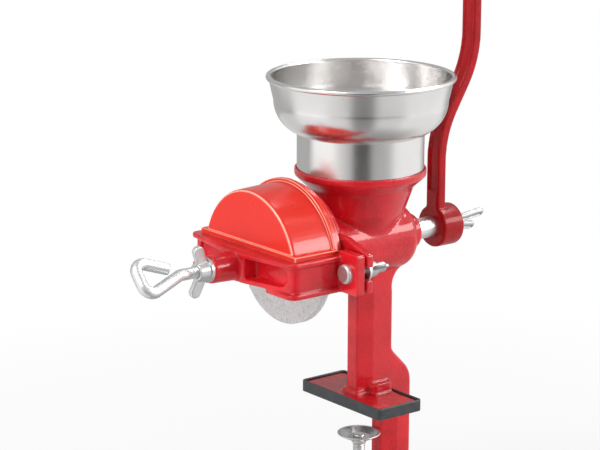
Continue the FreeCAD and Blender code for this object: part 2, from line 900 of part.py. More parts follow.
def make_burr(label, dress, back, radius, count, first_angle):
    """Ring burr with straight furrows in its dressed face and blind holes in its back."""
    piece = Piece(label, **centre)
    low, high = (dress, back) if dress.number < back.number else (back, dress)
    piece.turned(tube(low, high, d.burr_eye_radius, radius))
    piece.round(d.burr_edge_round, at_x(back, d.burr_eye_radius.number * 2))
    furrow = (dress - d.overrun, dress + d.groove_depth)
    holes = (back - d.burr_screw_depth, back + d.overrun)
    if dress.number > back.number:
        furrow = (dress - d.groove_depth, dress + d.overrun)
        holes = (back - d.overrun, back + d.burr_screw_depth)
    groove = piece.cut("YZ_Plane", *furrow, [rectangle(
        d.burr_eye_radius - d.overrun, radius - d.groove_stop,
        d.groove_offset, d.groove_offset + d.groove_width)])
    piece.around([groove], d.groove_count)
    piece.cut("YZ_Plane", *holes, [
        Circle(*place, d.burr_screw_radius)
        for place in ring_places(count, d.screw_circle_radius, first_angle)])
    return piece


def make_burr_screws(label, count, first_angle, tip, seat, way):
    """Round headed screws, drawn as one group; way is the side that the heads face."""
    piece = Piece(label, copies=True, **centre)
    places = ring_places(count, d.screw_circle_radius, first_angle)
    head_end = seat + way * d.burr_screw_head_height
    shank = (tip, seat) if way > 0 else (seat, tip)
    head = (seat, head_end) if way > 0 else (head_end, seat)
    piece.pad("YZ_Plane", *shank, [Circle(*place, d.burr_screw_radius) for place in places])
    piece.pad("YZ_Plane", *head, [Circle(*place, d.burr_screw_head_radius) for place in places])
    piece.round(d.burr_screw_head_height / 2, at_x(head_end))
    return piece


def make_carrier():
    """Cast disc that drives the turning burr, with a hub that is pinned to the shaft."""
    piece = Piece("burr_carrier", **centre)
    piece.turned([
        (carrier_nose, d.ball_radius + d.thrust_gap),
        (carrier_nose, d.carrier_hub_radius),
        (carrier_front, d.carrier_hub_radius),
        (carrier_front, d.burr_radius),
        (carrier_back, d.burr_radius),
        (carrier_back, d.shaft_front_radius),
        (d.shaft_front, d.shaft_front_radius),
        (d.shaft_front, 0),
        (carrier_nose + d.ball_seat_depth, 0),
        (carrier_nose + d.ball_seat_depth, d.ball_radius + d.thrust_gap)])
    for face in (carrier_front, carrier_back):
        piece.round(d.burr_edge_round, at_x(face, d.burr_eye_radius.number * 2))
    piece.cut("YZ_Plane", carrier_front - d.overrun, carrier_back + d.overrun, [
        Circle(*place, d.burr_screw_radius)
        for place in ring_places(2, d.screw_circle_radius)])
    piece.cross_bore(d.carrier_hub_radius, d.carrier_pin_place)
    return piece


def make_shaft():
    """Steel shaft: pinned front end, worm seat, rear journal and square for the crank."""
    piece = Piece("drive_shaft", **centre)
    piece.turned([
        (d.shaft_front, 0),
        (d.shaft_front, d.shaft_front_radius),
        (d.shaft_step, d.shaft_front_radius),
        (d.shaft_step, d.shaft_radius),
        (d.hub_front, d.shaft_radius),
        (d.hub_front, 0)])
    square = d.square_half_width
    square_end = d.hub_front + d.square_length
    piece.pad("YZ_Plane", d.hub_front - d.overrun, square_end, [
        rectangle(-square, square, -square, square)])
    hole_end = square_end - d.crank_bolt_depth - d.crank_bolt_hole_spare
    piece.cut("YZ_Plane", hole_end, square_end + d.overrun, [
        Circle(0, 0, d.crank_bolt_radius + d.running_gap)])
    piece.cross_bore(d.shaft_radius, d.carrier_pin_place, d.worm_pin_place)
    return piece


def make_worm():
    """Cast feed worm: a sleeve with one screw flight that pushes grain to the burrs."""
    piece = Piece("feed_worm", **centre)
    foot = d.worm_flight_foot
    piece.turned(tube(d.worm_start, d.worm_end, d.shaft_radius, d.worm_core_radius))
    start = d.worm_start + d.worm_collar_length
    root_radius = d.worm_core_radius - d.overrun
    lean = (foot - d.worm_flight_tip) / 2
    sketch = piece.draw("XZ_Plane", [[
        (start, root_radius),
        (start + foot, root_radius),
        (start + foot - lean, d.worm_radius),
        (start + lean, d.worm_radius)]])
    flight = piece.body.newObject("PartDesign::AdditiveHelix", "Flight")
    flight.Profile = sketch
    flight.ReferenceAxis = (sketch, ["H_Axis"])
    flight.Mode = "pitch-height-angle"
    flight.setExpression("Pitch", d.worm_pitch.formula)
    flight.setExpression("Height", (d.worm_end - foot - start).formula)
    piece.finish(flight, True)
    piece.cross_bore(d.worm_core_radius, d.worm_pin_place)
    return piece


def make_pin(label, place, reach):
    """Straight pin that crosses the shaft."""
    piece = Piece(label, **centre)
    piece.pad("XY_Plane", -reach, reach, [Circle(place, 0, d.pin_radius)])
    return piece


def make_ball():
    """Hardened ball that takes the thrust between screw and carrier."""
    ball = doc.addObject("Part::Sphere", "thrust_ball")
    ball.Label = "thrust_ball"
    ball.setExpression("Radius", d.ball_radius.formula)
    ball.setExpression("Placement.Base.x", (d.hopper_offset + ball_middle).formula)
    ball.setExpression("Placement.Base.z", d.shaft_height.formula)
    pieces.append(ball)


def make_adjusting_screw():
    """Bar with a threaded stem, bent into a three-cornered handle at the outer end."""
    piece = Piece("adjusting_screw", **centre)
    bend = d.handle_bend_radius
    lean = d.handle_leg_angle
    back = d.handle_return_angle
    end = d.handle_end
    high = d.handle_rise

    # The stem bends into a leg, the leg into the end bar and that into the return leg
    first = (d.handle_start - bend * sine(lean), bend * cosine(lean) - bend)
    low = first[1] - (first[0] - end) * sine(lean) / cosine(lean)
    cut_low = bend * cosine(lean) / (1 - sine(lean))
    cut_high = bend * cosine(back) / (1 - sine(back))
    leg_end = (end + cut_low * cosine(lean), low + cut_low * sine(lean))
    after_high = (end + cut_high * cosine(back), high - cut_high * sine(back))
    tail = (after_high[0] + d.handle_tail_length * cosine(back),
            after_high[1] - d.handle_tail_length * sine(back))
    spine = piece.new_sketch("XZ_Plane")
    piece.add_path(spine, [
        (screw_tip, 0),
        (d.handle_start, 0), Bend(bend, 1),
        first,
        leg_end, Bend(bend, -1),
        (end, low + cut_low),
        (end, high - cut_high), Bend(bend, -1),
        after_high,
        tail], closed=False)
    ring = piece.draw("YZ_Plane", [Circle(0, 0, d.screw_radius)], screw_tip)
    pipe = piece.body.newObject("PartDesign::AdditivePipe", "Bar")
    pipe.Profile = ring
    pipe.Spine = spine
    piece.finish(pipe, True)
    piece.tilt(FreeCAD.Vector(1, 0, 0), d.handle_rest_angle)
    return piece


def make_ring(label, x, thickness, inner, outer, y=0, z=0):
    """A flat washer."""
    piece = Piece(label, x=d.hopper_offset, y=y, z=d.shaft_height + z)
    piece.turned(tube(x, x + thickness, inner, outer))
    return piece


def make_wing_nut(label, x, way, bore, hub, wing, angle, y=0, z=0):
    """A nut with two swept wings; way is the side that the wings lean to."""
    hub_radius, hub_length = hub
    wing_length, wing_angle = wing
    piece = Piece(label, x=d.hopper_offset, y=y, z=d.shaft_height + z)
    end = x + way * hub_length
    piece.turned([
        (x, 0), (x, hub_radius), (end, hub_radius - d.wing_nut_taper), (end, 0)])
    root_x = x + way * (hub_length / 2)
    lean = wing_angle if way > 0 else 180 - wing_angle
    outline = capsule(root_x, (hub_radius + bore) / 2, lean, wing_length, d.wing_half_width)
    thick = d.wing_thickness / 2
    for shape in (outline, flip(outline)):
        piece.pad("XZ_Plane", -thick, thick, [shape])
    if bore.number > 0:
        low, high = (x, end) if way > 0 else (end, x)
        piece.cut("YZ_Plane", low - d.overrun, high + d.overrun, [Circle(0, 0, bore)])
    piece.tilt(FreeCAD.Vector(1, 0, 0), angle)
    return piece


def make_yoke():
    """Bridge casting that spans the burrs and holds the adjusting screw in its nose."""
    piece = Piece("yoke", **centre)
    side = d.yoke_half_width
    turn = d.yoke_corner_radius
    front = d.yoke_front
    middle = d.yoke_middle_front
    belly = d.yoke_middle_half_width
    back = front + d.yoke_wall
    inside = side - d.yoke_wall
    arm_end = yoke_ear_front + d.overrun
    top = d.yoke_half_height

    def bridge(edge, nose, reach):
        """A bowed U in plan round the common window; reach widens its outside."""
        wide = side + reach
        return [
            (arm_end, -wide),
            (edge + turn, -wide), Bend(turn, -1),
            (edge, -wide + turn),
            (nose, -belly),
            (nose, belly),
            (edge, wide - turn), Bend(turn, -1),
            (edge + turn, wide),
            (arm_end, wide),
            (arm_end, inside),
            (back + turn, inside), Bend(turn, 1),
            (back, inside - turn),
            (back, -inside + turn), Bend(turn, 1),
            (back + turn, -inside),
            (arm_end, -inside)]

    piece.pad("XY_Plane", -top, top, [bridge(front, middle, 0)])

    # Top flange, and the lip under each side
    reach = d.yoke_flange_side
    edge = front - d.yoke_flange_reach
    wide = side + reach
    piece.pad("XY_Plane", top - d.yoke_flange_thickness, top, [
        bridge(edge, middle - d.yoke_brow_reach, reach)])
    lip = [
        (arm_end, -wide),
        (edge + turn, -wide), Bend(turn, -1),
        (edge, -wide + turn),
        (edge, -d.yoke_lip_start),
        (back, -d.yoke_lip_start),
        (back, -inside),
        (arm_end, -inside)]
    for outline in (lip, flip(lip)):
        piece.pad("XY_Plane", -top - d.yoke_lip_height, -top, [outline])

    # Nose that swells toward the web, and the two ears, notched below the cover's rim
    nose = d.nose_radius
    piece.turned([
        (d.nose_front, 0), (d.nose_front, nose), (middle, d.nose_foot_radius),
        (back, d.nose_foot_radius), (back, 0)])
    piece.round(d.nose_round, at_x(d.nose_front))
    high = d.ear_half_height
    far = d.ear_reach
    turn = d.yoke_ear_round
    notch = d.cover_rim_radius + d.air_gap
    ear = [
        (inside, -high), (far - turn, -high), Bend(turn, 1),
        (far, -high + turn), (far, high - turn), Bend(turn, 1),
        (far - turn, high), (notch, high), (notch, top), (inside, top)]
    for outline in (ear, swap(ear)):
        piece.pad("YZ_Plane", yoke_ear_front, yoke_ear_back, [outline])

    # Pockets in the front with round outer ends, then the holes
    high = d.yoke_pocket_half_height
    pocket = [
        (-d.yoke_pocket_end + high, -high), (-d.yoke_pocket_start, -high),
        (-d.yoke_pocket_start, high), (-d.yoke_pocket_end + high, high), Bend(high, 1),
        (-d.yoke_pocket_end, 0), Bend(high, 1)]
    for outline in (pocket, swap(pocket)):
        piece.cut("YZ_Plane", middle - d.overrun, front + d.yoke_pocket_depth, [outline])
    piece.cut("YZ_Plane", d.nose_front - d.overrun, back + d.overrun, [
        Circle(0, 0, d.screw_radius + d.running_gap)])
    piece.cut("YZ_Plane", yoke_ear_front - d.overrun, yoke_ear_back + d.overrun, [
        Circle(-bolt_line, 0, d.bolt_radius), Circle(bolt_line, 0, d.bolt_radius)])
    return piece


def make_yoke_bolts():
    """Two round headed bolts that hold the yoke to the ears."""
    piece = Piece("yoke_bolts", copies=True, **centre)
    places = [(-bolt_line, 0), (bolt_line, 0)]
    head = yoke_ear_front - d.bolt_head_height
    piece.pad("YZ_Plane", yoke_ear_front, d.bolt_end, [
        Circle(*place, d.bolt_radius) for place in places])
    piece.pad("YZ_Plane", head, yoke_ear_front, [
        Circle(*place, d.bolt_head_radius) for place in places])
    piece.round(d.bolt_head_height - d.bolt_head_land, at_x(head))
    piece.bevel(d.bolt_end_bevel, at_x(d.bolt_end))
    return piece


def make_cover():
    """Half round cover over the burrs, with a lip that rests on the yoke."""
    piece = Piece("burr_cover", x=d.hopper_offset, z=d.shaft_height - d.cover_drop)
    wall = d.cover_wall
    soft = d.cover_edge_round
    rim_front = d.cover_rear - d.cover_rim_width
    rest = d.yoke_half_height + d.cover_drop
    piece.turned([
        (d.cover_front, 0),
        (d.cover_front, d.cover_front_radius - soft), Bend(soft, -1),
        (d.cover_front + soft, d.cover_front_radius),
        (rim_front, d.cover_rear_radius),
        (rim_front, d.cover_rim_radius),
        (d.cover_rear, d.cover_rim_radius),
        (d.cover_rear, d.cover_rear_radius),
        (d.cover_skirt_end, d.cover_rear_radius),
        (d.cover_skirt_end, d.cover_rear_radius - wall),
        (rim_front, d.cover_rear_radius - wall),
        (d.cover_front + wall, d.cover_front_radius - wall),
        (d.cover_front + wall, 0)])
    wide = d.cover_rim_radius + d.overrun
    piece.cut("XZ_Plane", -wide, wide, [rectangle(
        d.cover_front - d.overrun, d.cover_skirt_end + d.overrun, -wide, rest)])
    lip_front = d.cover_front - d.cover_lip_reach
    half = d.cover_lip_half_width
    window = d.burr_radius + d.air_gap * 2
    piece.pad("XY_Plane", rest, rest + d.cover_lip_height, [[
        (lip_front, -half), (d.cover_rear, -half), (d.cover_rear, -window),
        (d.cover_front + wall, -window), (d.cover_front + wall, window),
        (d.cover_rear, window), (d.cover_rear, half), (lip_front, half)]])

    # Tabs that locate the cover between the arms of the yoke
    outer = d.yoke_half_width - d.yoke_wall - d.air_gap
    tab = d.yoke_front + d.yoke_wall + d.yoke_corner_radius
    for sign in (-1, 1):
        low, high = side_by_side(sign, outer - d.cover_tab_wall, outer)
        piece.pad("XY_Plane", rest - d.cover_tab_depth, rest + d.overrun, [rectangle(
            tab, tab + d.cover_tab_length, low, high)])
    return piece


def arm_edge(shift, low, high):
    """One side of the crank's swan neck, that far from its middle line."""
    bend = d.arm_bend_radius
    angle = d.arm_bend_angle
    start = d.hub_front + d.arm_thickness / 2
    end = start + d.arm_offset
    slant = (d.arm_offset - 2 * bend * (1 - cosine(angle))) / sine(angle)
    bend_end = d.arm_bend_bottom + 2 * bend * sine(angle) + slant * cosine(angle)
    near = bend - shift
    far = bend + shift
    return [
        (start + shift, low),
        (start + shift, d.arm_bend_bottom), Bend(near, -1),
        (start + bend - near * cosine(angle), d.arm_bend_bottom + near * sine(angle)),
        (end - bend + far * cosine(angle), bend_end - far * sine(angle)), Bend(far, 1),
        (end + shift, bend_end),
        (end + shift, high)]


def arm_strip(shift, other, low, high):
    """Outline between two side lines of the swan neck."""
    back = [Bend(item.radius, -item.turn) if isinstance(item, Bend) else item
            for item in reversed(arm_edge(other, low, high))]
    return arm_edge(shift, low, high) + back


def make_crank():
    """Cast crank: hub with a square hole, swan neck with channels, boss for the grip."""
    piece = Piece("crank_arm", **centre)
    half = d.arm_thickness / 2
    wide = d.arm_width / 2
    piece.pad("XZ_Plane", -wide, wide, [arm_strip(-half, half, 0, d.crank_throw)])
    piece.round(d.arm_round, lambda edge, box: same(box.YMin, box.YMax))
    deep = half - d.arm_channel_depth
    out = half + d.overrun
    channel = d.arm_channel_width / 2
    channel_end = d.crank_throw - d.crank_boss_radius - d.arm_channel_end_gap
    for sign in (-1, 1):
        piece.cut("XZ_Plane", -channel, channel, [arm_strip(
            sign * out, sign * deep, d.arm_channel_start, channel_end)])
    piece.pad("YZ_Plane", d.hub_front, hub_end, [Circle(0, 0, d.hub_radius)])
    piece.round(d.hub_round, at_x(hub_end))
    boss_middle = d.hub_front + half + d.arm_offset
    boss = d.crank_boss_length / 2
    piece.pad("YZ_Plane", boss_middle - boss, boss_middle + boss, [
        Circle(0, d.crank_throw, d.crank_boss_radius)])
    square = d.square_half_width
    piece.cut("YZ_Plane", d.hub_front - d.overrun, hub_end + d.overrun, [
        rectangle(-square, square, -square, square)])
    reach = boss + d.overrun
    piece.cut("YZ_Plane", boss_middle - reach, boss_middle + reach, [
        Circle(0, d.crank_throw, d.spindle_radius)])
    return piece


grip_foot = (d.hub_front + d.arm_thickness / 2 + d.arm_offset + d.crank_boss_length / 2
             + d.grip_gap)
grip_end = grip_foot + d.grip_length
grip_line = d.shaft_height + d.crank_throw


def make_grip():
    """Turned wooden grip that spins on the spindle."""
    piece = Piece("grip", x=d.hopper_offset, z=grip_line)
    middle = d.grip_length / 2
    swell = d.grip_radius - d.grip_neck_radius
    bow = (middle * middle + swell * swell) / (2 * swell)
    bore = d.spindle_radius + d.running_gap
    piece.turned([
        (grip_foot, bore),
        (grip_foot, d.grip_neck_radius), Bend(bow, -1),
        (grip_foot + middle, d.grip_radius), Bend(bow, -1),
        (grip_end, d.grip_neck_radius),
        (grip_end, bore)])
    ends = (grip_foot.number, grip_end.number)
    piece.round(d.grip_round, lambda edge, box: same(box.XMin, box.XMax)
                and any(same(box.XMin, end) for end in ends)
                and box.ZMax > d.spindle_radius.number * 2)
    return piece


def make_spindle():
    """Rivet headed spindle that carries the grip."""
    piece = Piece("grip_spindle", x=d.hopper_offset, z=grip_line)
    boss_front = grip_foot - d.grip_gap - d.crank_boss_length
    head = boss_front - d.spindle_head_height
    end = grip_end + d.grip_gap + d.grip_washer_thickness + d.cap_nut_height - d.cap_nut_wall
    piece.turned([
        (head, 0),
        (head, d.spindle_head_radius),
        (boss_front, d.spindle_head_radius),
        (boss_front, d.spindle_radius),
        (end, d.spindle_radius),
        (end, 0)])
    piece.round(d.spindle_head_height - d.spindle_head_land, at_x(head))
    return piece


def make_cap_nut():
    """Domed six sided nut at the end of the spindle."""
    piece = Piece("grip_cap_nut", x=d.hopper_offset, z=grip_line)
    start = grip_end + d.grip_gap + d.grip_washer_thickness
    flats = start + d.cap_nut_height / 2
    corners = ring_places(6, d.cap_nut_radius)
    piece.pad("YZ_Plane", start, flats, [corners])
    top = start + d.cap_nut_height
    piece.turned([
        (start + d.overrun, 0),
        (start + d.overrun, d.cap_nut_dome_radius),
        (flats, d.cap_nut_dome_radius), Bend(d.cap_nut_radius, -1),
        (top, d.cap_nut_top_radius),
        (top, 0)])
    piece.cut("YZ_Plane", start - d.overrun, top - d.cap_nut_wall, [
        Circle(0, 0, d.spindle_radius)])
    return piece


def make_crank_bolt():
    """Wing screw in the end of the shaft that holds the crank on its square."""
    start = hub_end + d.crank_washer_thickness
    piece = make_wing_nut(
        "crank_wing_screw", start, 1, as_length(0),
        (d.crank_bolt_head_radius, d.crank_bolt_head_length),
        (d.crank_wing_length, d.crank_wing_angle), d.crank_bolt_rest_angle)
    piece.pad("YZ_Plane", start - d.crank_bolt_depth, start + d.overrun, [
        Circle(0, 0, d.crank_bolt_radius)])
    return piece


disc_top = -d.clamp_gap
disc_bowl = disc_top - d.clamp_bowl_depth
disc_floor = disc_top - d.clamp_disc_height
disc_hub_end = disc_floor - d.clamp_disc_hub_height
boss_foot = d.shaft_height + d.frame_bottom
head_top = boss_foot - d.clamp_head_gap
head_foot = head_top - d.clamp_head_height


def make_clamp_disc():
    """Dished disc that swivels on the tip of the clamp screw and presses the table."""
    piece = Piece("clamp_disc", x=d.clamp_offset)
    hole = d.clamp_tip_radius + d.running_gap
    wall = d.clamp_disc_wall
    radius = d.clamp_disc_radius
    piece.turned([
        (hole, disc_bowl),
        (d.clamp_bowl_floor_radius, disc_bowl),
        (radius - wall, disc_top),
        (radius, disc_top),
        (radius, disc_top - wall / 2),
        (d.clamp_bowl_floor_radius, disc_floor),
        (d.clamp_disc_hub_radius, disc_floor),
        (d.clamp_disc_hub_radius, disc_hub_end),
        (hole, disc_hub_end)], axis="V_Axis")
    return piece


def make_clamp_screw():
    """Table clamp screw: swaged tip in the disc, thread, and a cross bored head."""
    piece = Piece("clamp_screw", x=d.clamp_offset)
    tip = d.clamp_tip_radius
    flare = tip + d.clamp_tip_flare
    flare_foot = disc_bowl + d.thrust_gap
    flare_top = flare_foot + d.clamp_tip_height
    shoulder = disc_hub_end - d.thrust_gap
    bevel = d.clamp_head_bevel
    piece.turned([
        (0, flare_top),
        (tip, flare_top),
        (flare, flare_top - d.clamp_tip_height / 2),
        (flare, flare_foot),
        (tip, flare_foot),
        (tip, shoulder),
        (d.clamp_screw_radius, shoulder - d.clamp_shoulder),
        (d.clamp_screw_radius, head_top),
        (d.clamp_head_radius, head_top - bevel),
        (d.clamp_head_radius, head_foot + bevel),
        (d.clamp_head_radius - bevel, head_foot),
        (0, head_foot)], axis="V_Axis")
    reach = d.clamp_head_radius + d.overrun
    piece.cut("XZ_Plane", -reach, reach, [
        Circle(0, (head_top + head_foot) / 2, d.tee_bar_radius + d.running_gap)])
    return piece


def make_tee_bar():
    """Sliding bar that turns the clamp screw."""
    piece = Piece("tee_bar", x=d.clamp_offset, z=(head_top + head_foot) / 2)
    half = d.tee_bar_length / 2
    piece.pad("XZ_Plane", -half, half, [Circle(0, 0, d.tee_bar_radius)])
    return piece


def make_tee_ends():
    """Pressed on ends that keep the bar in the screw's head."""
    piece = Piece("tee_bar_ends", x=d.clamp_offset, z=(head_top + head_foot) / 2, copies=True)
    half = d.tee_bar_length / 2
    inner = half - d.tee_end_length
    for sign in (-1, 1):
        low, high = side_by_side(sign, inner, half + d.tee_end_wall)
        piece.pad("XZ_Plane", low, high, [Circle(0, 0, d.tee_end_radius)])
    piece.round(d.tee_end_round, lambda edge, box: same(box.YMin, box.YMax))
    for sign in (-1, 1):
        low, high = side_by_side(sign, inner - d.overrun, half)
        piece.cut("XZ_Plane", low, high, [Circle(0, 0, d.tee_bar_radius)])
    return piece


def make_all():
    make_body()
    make_boot()
    make_hopper()
    make_burr("fixed_burr", burr_face, d.seat_front, d.fixed_burr_radius, 3, 90)
    tip = d.seat_front - d.burr_screw_depth
    make_burr_screws("fixed_burr_screws", 3, 90, tip, ear_back, 1)
    make_burr("turning_burr", turning_face, carrier_back, d.burr_radius, 2, 0)
    tip = carrier_back + d.burr_screw_depth
    make_burr_screws("turning_burr_screws", 2, 0, tip, carrier_front, -1)
    make_carrier()
    make_shaft()
    make_worm()
    make_pin("carrier_pin", d.carrier_pin_place, d.carrier_hub_radius)
    make_pin("worm_pin", d.worm_pin_place, d.worm_core_radius)
    make_ball()
    make_adjusting_screw()
    loose = d.screw_radius + d.air_gap
    washer_front = d.nose_front - d.lock_washer_thickness
    make_ring("lock_washer", washer_front, d.lock_washer_thickness, loose, d.lock_washer_radius)
    make_wing_nut(
        "lock_wing_nut", washer_front, -1, d.screw_radius + d.running_gap,
        (d.lock_nut_radius, d.lock_nut_length), (d.lock_wing_length, d.lock_wing_angle),
        d.lock_nut_rest_angle)
    make_yoke()
    make_yoke_bolts()
    loose = d.bolt_radius + d.air_gap
    for name, side, angle in (
            ("near", -1, d.near_nut_rest_angle), ("far", 1, d.far_nut_rest_angle)):
        place = dict(y=side * bolt_line)
        make_ring(f"{name}_washer", ear_back, d.washer_thickness, loose, d.washer_radius, **place)
        make_wing_nut(
            f"{name}_wing_nut", ear_back + d.washer_thickness, 1,
            d.bolt_radius + d.running_gap, (d.wing_nut_radius, d.wing_nut_length),
            (d.wing_length, d.wing_angle), angle, **place)
    make_cover()
    make_crank()
    loose = d.crank_bolt_radius + d.air_gap
    make_ring("crank_washer", hub_end, d.crank_washer_thickness, loose, d.crank_washer_radius)
    make_crank_bolt()
    make_spindle()
    make_grip()
    piece = Piece("grip_washer", x=d.hopper_offset, z=grip_line)
    start = grip_end + d.grip_gap
    piece.turned(tube(start, start + d.grip_washer_thickness,
                      d.spindle_radius, d.grip_washer_radius))
    make_cap_nut()
    make_clamp_disc()
    make_clamp_screw()
    make_tee_bar()
    make_tee_ends()


def check_and_export():
    """Stops on any failed object or bad shape, then writes one file for each piece."""
    doc.recompute()
    for thing in doc.Objects:
        if "Invalid" in thing.State or "Error" in thing.State:
            raise RuntimeError(f"{thing.Name} failed: {thing.State}")
    for piece in pieces:
        if piece.Shape.isNull() or not piece.Shape.isValid():
            raise RuntimeError(f"{piece.Label} has a bad shape")
    os.makedirs("parts", exist_ok=True)
    for piece in pieces:
        piece.Shape.exportStep(f"parts/{piece.Label}.step")
        box = piece.Shape.optimalBoundingBox()
        solids = len(piece.Shape.Solids)
        print(f"{piece.Label}: {solids} solid(s), {piece.Shape.Volume / 1000:.2f} cm3, "
              f"z {box.ZMin:.1f} to {box.ZMax:.1f}")


make_all()
check_and_export()
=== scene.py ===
# %% [markdown]
# # A hand mill, dressed
#
# The mill is a red enamelled casting that is clamped to a table edge. A steel hopper
# stands on its funnel, a crank turns a worm and a burr, and a red cover closes the
# burrs. Its shape comes from the CAD frame, in metres, with +Z up and the shaft along
# +X. This notebook gives every piece its finish, and remakes the pieces whose real
# surface has more in it than a plain solid can hold: soft casting edges, screw threads,
# stamped wings, the rolled rim of the hopper and the turned grip.

# %% Load the frame
import math

import bpy
import numpy as np
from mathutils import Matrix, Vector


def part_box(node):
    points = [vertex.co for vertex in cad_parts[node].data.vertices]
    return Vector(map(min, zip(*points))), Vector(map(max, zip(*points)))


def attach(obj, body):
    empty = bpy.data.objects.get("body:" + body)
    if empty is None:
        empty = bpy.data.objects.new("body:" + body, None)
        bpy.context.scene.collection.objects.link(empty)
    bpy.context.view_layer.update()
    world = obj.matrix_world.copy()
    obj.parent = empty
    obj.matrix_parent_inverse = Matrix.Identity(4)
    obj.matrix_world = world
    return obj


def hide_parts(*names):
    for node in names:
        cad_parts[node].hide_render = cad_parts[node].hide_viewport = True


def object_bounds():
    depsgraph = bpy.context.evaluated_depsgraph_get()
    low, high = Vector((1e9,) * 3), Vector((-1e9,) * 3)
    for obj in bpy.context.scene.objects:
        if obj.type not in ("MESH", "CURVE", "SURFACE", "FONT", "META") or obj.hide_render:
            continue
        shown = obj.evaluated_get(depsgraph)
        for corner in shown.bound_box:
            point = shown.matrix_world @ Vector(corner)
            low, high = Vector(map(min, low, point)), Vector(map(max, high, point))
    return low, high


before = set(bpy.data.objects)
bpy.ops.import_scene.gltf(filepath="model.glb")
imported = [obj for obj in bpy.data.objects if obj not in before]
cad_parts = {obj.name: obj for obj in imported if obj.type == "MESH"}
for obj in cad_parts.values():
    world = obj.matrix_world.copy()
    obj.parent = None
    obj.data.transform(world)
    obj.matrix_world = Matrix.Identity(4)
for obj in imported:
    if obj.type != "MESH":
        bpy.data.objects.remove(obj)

MM = 0.001
cad_low, cad_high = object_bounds()
print("the frame is", [round(float(side), 3) for side in cad_high - cad_low], "metres")

# %% [markdown]
# ## Camera
#
# A camera has a place, a point that it looks at, a lens and a small roll. The four come
# from lines of the mill whose real places are known, such as the rim of the hopper and
# the straight edges of the casting. A long lens, 142 mm, keeps the lines near parallel.

# %% Camera
from mathutils import Matrix, Vector

EYE = Vector((-1.1658, -1.4068, 0.6039))
AIM = Vector((-0.0634, 0.0, 0.1562))
LENS = 141.8
ROLL_DEGREES = 0.207
FILM_WIDTH = 36
FAR_END = 60

camera_data = bpy.data.cameras.new("camera")
camera_data.lens = LENS
camera_data.sensor_width = FILM_WIDTH
camera_data.clip_end = FAR_END
camera = bpy.data.objects.new("camera", camera_data)
bpy.context.scene.collection.objects.link(camera)
roll = Matrix.Rotation(math.radians(ROLL_DEGREES), 4, "Z")
facing = (AIM - EYE).to_track_quat("-Z", "Y").to_matrix().to_4x4()
camera.matrix_world = Matrix.Translation(EYE) @ facing @ roll
bpy.context.scene.camera = camera
print("the camera is", round((AIM - EYE).length, 3), "m away")

# %% [markdown]
# ## Shader maths
#
# A material is a graph of nodes. Written out link by link it is hard to read, so one
# small class wraps an output socket and lets it be added or multiplied like a number.
# A second class holds the graph and makes every other node through one method, and a
# third is a graph that ends in a Principled shader.

# %% A socket that can be used in sums
class Wire:
    """An output socket. Sums and products with it add Math nodes."""

    def __init__(self, graph, socket):
        self.graph = graph
        self.socket = socket

    def math(self, operation, *values):
        return self.graph.add("Math", dict(enumerate(values)), operation=operation)

    def __add__(self, other):
        return self.math("ADD", self, other)

    def __sub__(self, other):
        return self.math("SUBTRACT", self, other)

    def __rsub__(self, other):
        return self.math("SUBTRACT", other, self)

    def __mul__(self, other):
        return self.math("MULTIPLY", self, other)

    __radd__ = __add__
    __rmul__ = __mul__

    def between(self, low, high):
        """0 at low and 1 at high, held there outside, with a straight run between."""
        return self.graph.add("MapRange", {0: self, 1: low, 2: high, 3: 0.0, 4: 1.0})


# %% A graph and its one way to add nodes
class Graph:
    """A tree of shader nodes."""

    def __init__(self, tree):
        self.tree = tree

    def join(self, socket, value):
        if isinstance(value, Wire):
            self.tree.links.new(value.socket, socket)
        elif socket.type == "RGBA" and len(value) == 3:
            socket.default_value = (*value, 1.0)
        else:
            socket.default_value = value

    def add(self, kind, inputs=None, output=0, stops=(), **settings):
        """Adds a node: its settings first, then the values or links of its sockets.

        The stops of a ramp are pairs of a place from 0 to 1 and a shade of grey.
        """
        node = self.tree.nodes.new("ShaderNode" + kind)
        for setting, value in settings.items():
            setattr(node, setting, value)
        for number, (place, shade) in enumerate(stops):
            elements = node.color_ramp.elements
            inner = 0 < number < len(stops) - 1
            element = elements.new(place) if inner else elements[0 if number == 0 else -1]
            element.color = (shade, shade, shade, 1.0)
        for socket, value in (inputs or {}).items():
            self.join(node.inputs[socket], value)
        return Wire(self, node.outputs[output])


# %% A material
class Finish(Graph):
    """A graph with a Principled shader; plain numbers go on the shader's own sockets."""

    def __init__(self, name, **sockets):
        self.material = bpy.data.materials.new(name)
        self.material.use_nodes = True
        super().__init__(self.material.node_tree)
        self.shader = self.tree.nodes["Principled BSDF"]
        self.place = self.add("TexCoord", output="Object")
        for socket, value in sockets.items():
            self.set(socket.replace("_", " "), value)

    def set(self, socket, value):
        self.join(self.shader.inputs[socket], value)

    def noise(self, cell, detail=3.0, roughness=0.5, stretch=(1, 1, 1)):
        """Noise about 0.5 whose lumps are about one cell wide, in millimetres."""
        size = tuple(factor / (cell * MM) for factor in stretch)
        scaled = self.add("Mapping", {"Vector": self.place, "Scale": size})
        return self.add("TexNoise", {
            "Vector": scaled, "Scale": 1.0, "Detail": detail, "Roughness": roughness})

    def blend(self, amount, first, second):
        """One colour where amount is 0, and the other where it is 1."""
        return self.add("Mix", {0: amount, 6: first, 7: second}, output=2, data_type="RGBA")

    def bump(self, height, depth):
        """Tilts the surface as a relief that deep, in millimetres, would."""
        relief = self.add("Bump", {"Height": height, "Strength": 1.0, "Distance": depth * MM})
        self.set("Normal", relief)

    @property
    def edges(self):
        """0 in hollows, 0.5 on flats and 1 on ridges of a finely divided mesh."""
        return self.add("NewGeometry", output="Pointiness")

    def tell(self):
        print(self.material.name, "has", len(self.tree.nodes), "nodes")


